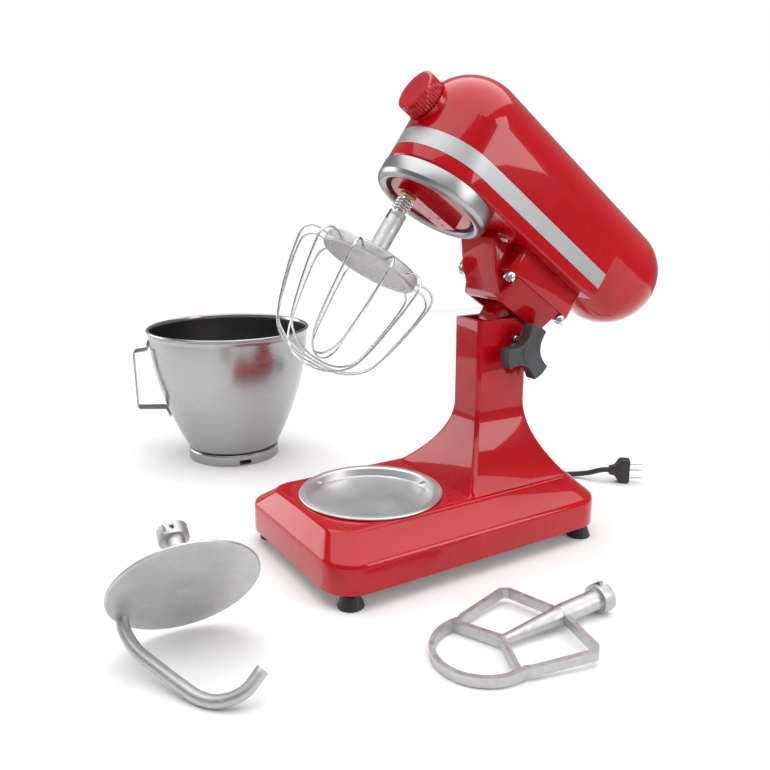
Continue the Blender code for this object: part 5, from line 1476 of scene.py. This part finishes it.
def makeHook(h, s):
    r = h["disc"]
    disc = [(0, -2), (r - 1.6, -2), (r - 0.2, -0.9), (r - 0.2, 0.9), (r - 1.6, 2), (0, 2)]
    body = turned("doughHook", disc, edge=0.5, steps=160)
    join(body, turned("hookSleeve", sleeveProfile(s, 60, -1), edge=0.7, steps=64))
    route = [(7 - r, 0, 1), (7 - r, 0, -13), (14 - r, 0, -34), (28 - r, 0, -56), (46 - r, 0, -82)]
    route += [(57 - r, 0, -96), (72 - r, 0, -106), (92 - r, 0, -108), (111 - r, 0, -98)]
    bar = wire("hookRod", smoothPath(route, 4), h["rod"] - 0.05, 28)
    join(body, bar)
    cut(body, bayonet(s, "hookSlot", (0, 0, 0), (0, 0, 1), (0, 1, 0), 60))
    easeEdges(body, 0.7, 2, 50)
    place = lyingPlace(h["place"], h["across"], h["axis"])
    return finish(body, place, "dough_hook", coats["castAluminium"], ["dough_hook"], 42)


def bar(name, line, b):
    outline = thickLine(line, b["bar"] / 2)
    half = b["thickness"] / 2
    return loft(name, [[(p.x, p.y, z) for p in outline] for z in (-half, half)])


def makeBeater(b, s):
    body = turned("flatBeater", sleeveProfile(s, 56, -4), (0, 66, 0), (0, 1, 0), 0.7, 64)
    taper = [(0, 0), (4.4, 0), (8.2, 62), (9.4, 74), (0, 74)]
    join(body, lathe("beaterShaft", taper, (0, -8, 0), (0, 1, 0), 48))
    ends = [(0, 66), (-56, 52), (-61, 46), (-47, -12), *arc((0, -24), 45, 170, 370, 40), (47, -12),
        (61, 46), (56, 52), (0, 66)]
    line = [(p.x, p.y) for p in rounded(ends, 4, 5)]
    join(body, bar("beaterFrame", line, b))
    for name, side in (("left", -1), ("right", 1)):
        join(body, bar(f"arm{name}", [(0, -4), (side * 46, -24)], b))
    cut(body, bayonet(s, "beaterSlot", (0, 66, 0), (0, 1, 0), (0, 0, 1), 56))
    easeEdges(body, 0.9, 3, 50)
    place = lyingPlace(b["place"], (1, 0, 0), b["up"])
    return finish(body, place, "flat_beater", coats["castAluminium"], ["flat_beater"], 42)


makeHook(hook, socketShape)
makeBeater(beater, socketShape)
print("loose tools made")


# Strain relief

gland = {"radius": 6.0, "length": 22.0, "bore": 3.9, "ribs": 6}


def glandTree(coat):
    # rings that shrink one after another along the strain relief
    tree, given = newTree("strain relief", {
        "Ribs": ("Int", 6), "Pitch": ("Float", 3.0), "First radius": ("Float", 6.0),
        "Shrink": ("Float", 0.05), "Thickness": ("Float", 1.9),
    })
    line = geo(tree, "GeometryNodeMeshLine", Count=pick(given, "Ribs"))
    tree.links.new(vector(tree, 0.0, 0.0, pick(given, "Pitch")), line.inputs["Offset"])
    index = geo(tree, "GeometryNodeInputIndex").outputs[0]
    size = mixed(tree, "SUBTRACT", 1.0, mixed(tree, "MULTIPLY", index, pick(given, "Shrink")))
    rib = geo(tree, "GeometryNodeMeshCylinder", Vertices=48, Radius=pick(given, "First radius"),
        Depth=pick(given, "Thickness"))
    many = geo(tree, "GeometryNodeInstanceOnPoints", Points=pick(line, "Mesh"), Instance=pick(rib, "Mesh"),
               Scale=vector(tree, size, size, 1.0))
    closeTree(tree, pick(many, "Instances"), coat)
    return tree


def makeGland(g, c):
    place = Vector(c["gland"])
    core = [(g["bore"], -8), (g["radius"], -8), (g["radius"], 0.3), (g["radius"] + 2.5, 0.3),
        (g["radius"] + 2.5, 2.6)]
    core += [(g["radius"] + 1.4, 3.6), (g["radius"] - 0.7, 4), (g["bore"] + 0.8, g["length"]),
        (g["bore"], g["length"])]
    body = turned("cordGland", core, place, (0, 1, 0), 0.4, 64)
    ribs = grown("glandRibs", glandTree(coats["cordJacket"]), {
        "Ribs": g["ribs"], "Pitch": 2.7, "First radius": g["radius"] - 0.2, "Shrink": 0.045,
        "Thickness": 1.4,
    })
    ribs.data.transform(Matrix.Translation(place + Vector((0, 6.2,
        0))) @ Matrix.Rotation(math.radians(-90), 4, "X"))
    hole = rod("ribBore", g["bore"], place - Vector((0, 12, 0)), place + Vector((0, 30, 0)), 48)
    join(body, ribs)
    cut(body, hole)
    return finish(body, onStand, "stand", coats["cordJacket"], ["cord_gland"], 35)


makeGland(gland, cordSettings)
print("strain relief made")


# Pieces carried over from the frame get their own finish

carried = {
    "seatSteel": ["base_cover"],
    "gearSteel": ["ring_gear", "planet_gear", "lower_bearing", "upper_bearing", "motor_bearing", "worm"],
    "statorIron": ["motor_stator"],
    "castAluminium": ["bearing_bridge"],
    "brightSteel": ["main_shaft"],
    "brass": ["worm_wheel"],
    "copperWinding": ["motor_armature"],
    "knobPlastic": ["cooling_fan"],
    "circuitBoard": ["speed_board"],
}
for coatName, names in carried.items():
    for nodeName in names:
        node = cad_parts[nodeName]
        for slotRow in node.material_slots:
            slotRow.material = coats[coatName]
        if not node.material_slots:
            node.data.materials.append(coats[coatName])

# Floor and light

studio = {
    "floor": 2.5,
    "floorColor": (0.93, 0.93, 0.93),
    "backdrop": 1.0,
    "sky": 0.26,
    "aim": (0.0, 0.0, 0.2),
    "lamps": [
        {"name": "topBox", "place": (0.1, 0.1, 2.1), "size": (3.4, 3.4), "power": 80.0},
        {"name": "frontBox", "place": (-1.8, -1.3, 0.8), "size": (1.4, 1.3), "power": 20.0},
        {"name": "sideBox", "place": (1.9, 1.2, 1.0), "size": (1.0, 1.1), "power": 16.0},
    ],
}


def makeStudio(s):
    half = s["floor"] / 2
    mesh = bpy.data.meshes.new("floor")
    mesh.from_pydata([(-half, -half, 0), (half, -half, 0), (half, half, 0), (-half, half, 0)], [],
        [(0, 1, 2, 3)])
    floor = linked("floor", mesh)
    coat, tree, shader = shaderOf("floorPaper", s["floorColor"], 0.9, 0.0, {"Specular IOR Level": 0.1})
    grain = noise(tree, place3(tree), 3, 3)
    tree.links.new(shades(tree, grain, [(0.3, scaled(s["floorColor"], 0.985)), (0.7, s["floorColor"])]),
        shader.inputs["Base Color"])
    mesh.materials.append(coat)
    world = bpy.data.worlds.new("studio")
    world.use_nodes = True
    light = world.node_tree.nodes["Background"]
    light.inputs["Color"].default_value = (1, 1, 1, 1)
    path = world.node_tree.nodes.new("ShaderNodeLightPath")
    strength = spread(world.node_tree, path.outputs["Is Camera Ray"], s["sky"], s["backdrop"], 0, 1)
    world.node_tree.links.new(strength, light.inputs["Strength"])
    bpy.context.scene.world = world
    bpy.context.scene.view_settings.view_transform = "Standard"
    for lamp in s["lamps"]:
        data = bpy.data.lights.new(lamp["name"], "AREA")
        data.shape = "RECTANGLE"
        data.size, data.size_y = lamp["size"]
        data.energy = lamp["power"]
        light = bpy.data.objects.new(lamp["name"], data)
        bpy.context.scene.collection.objects.link(light)
        light.location = lamp["place"]
        aim = Vector(s["aim"]) - Vector(lamp["place"])
        light.rotation_euler = aim.to_track_quat("-Z", "Y").to_euler()


makeStudio(studio)
print("studio ready")
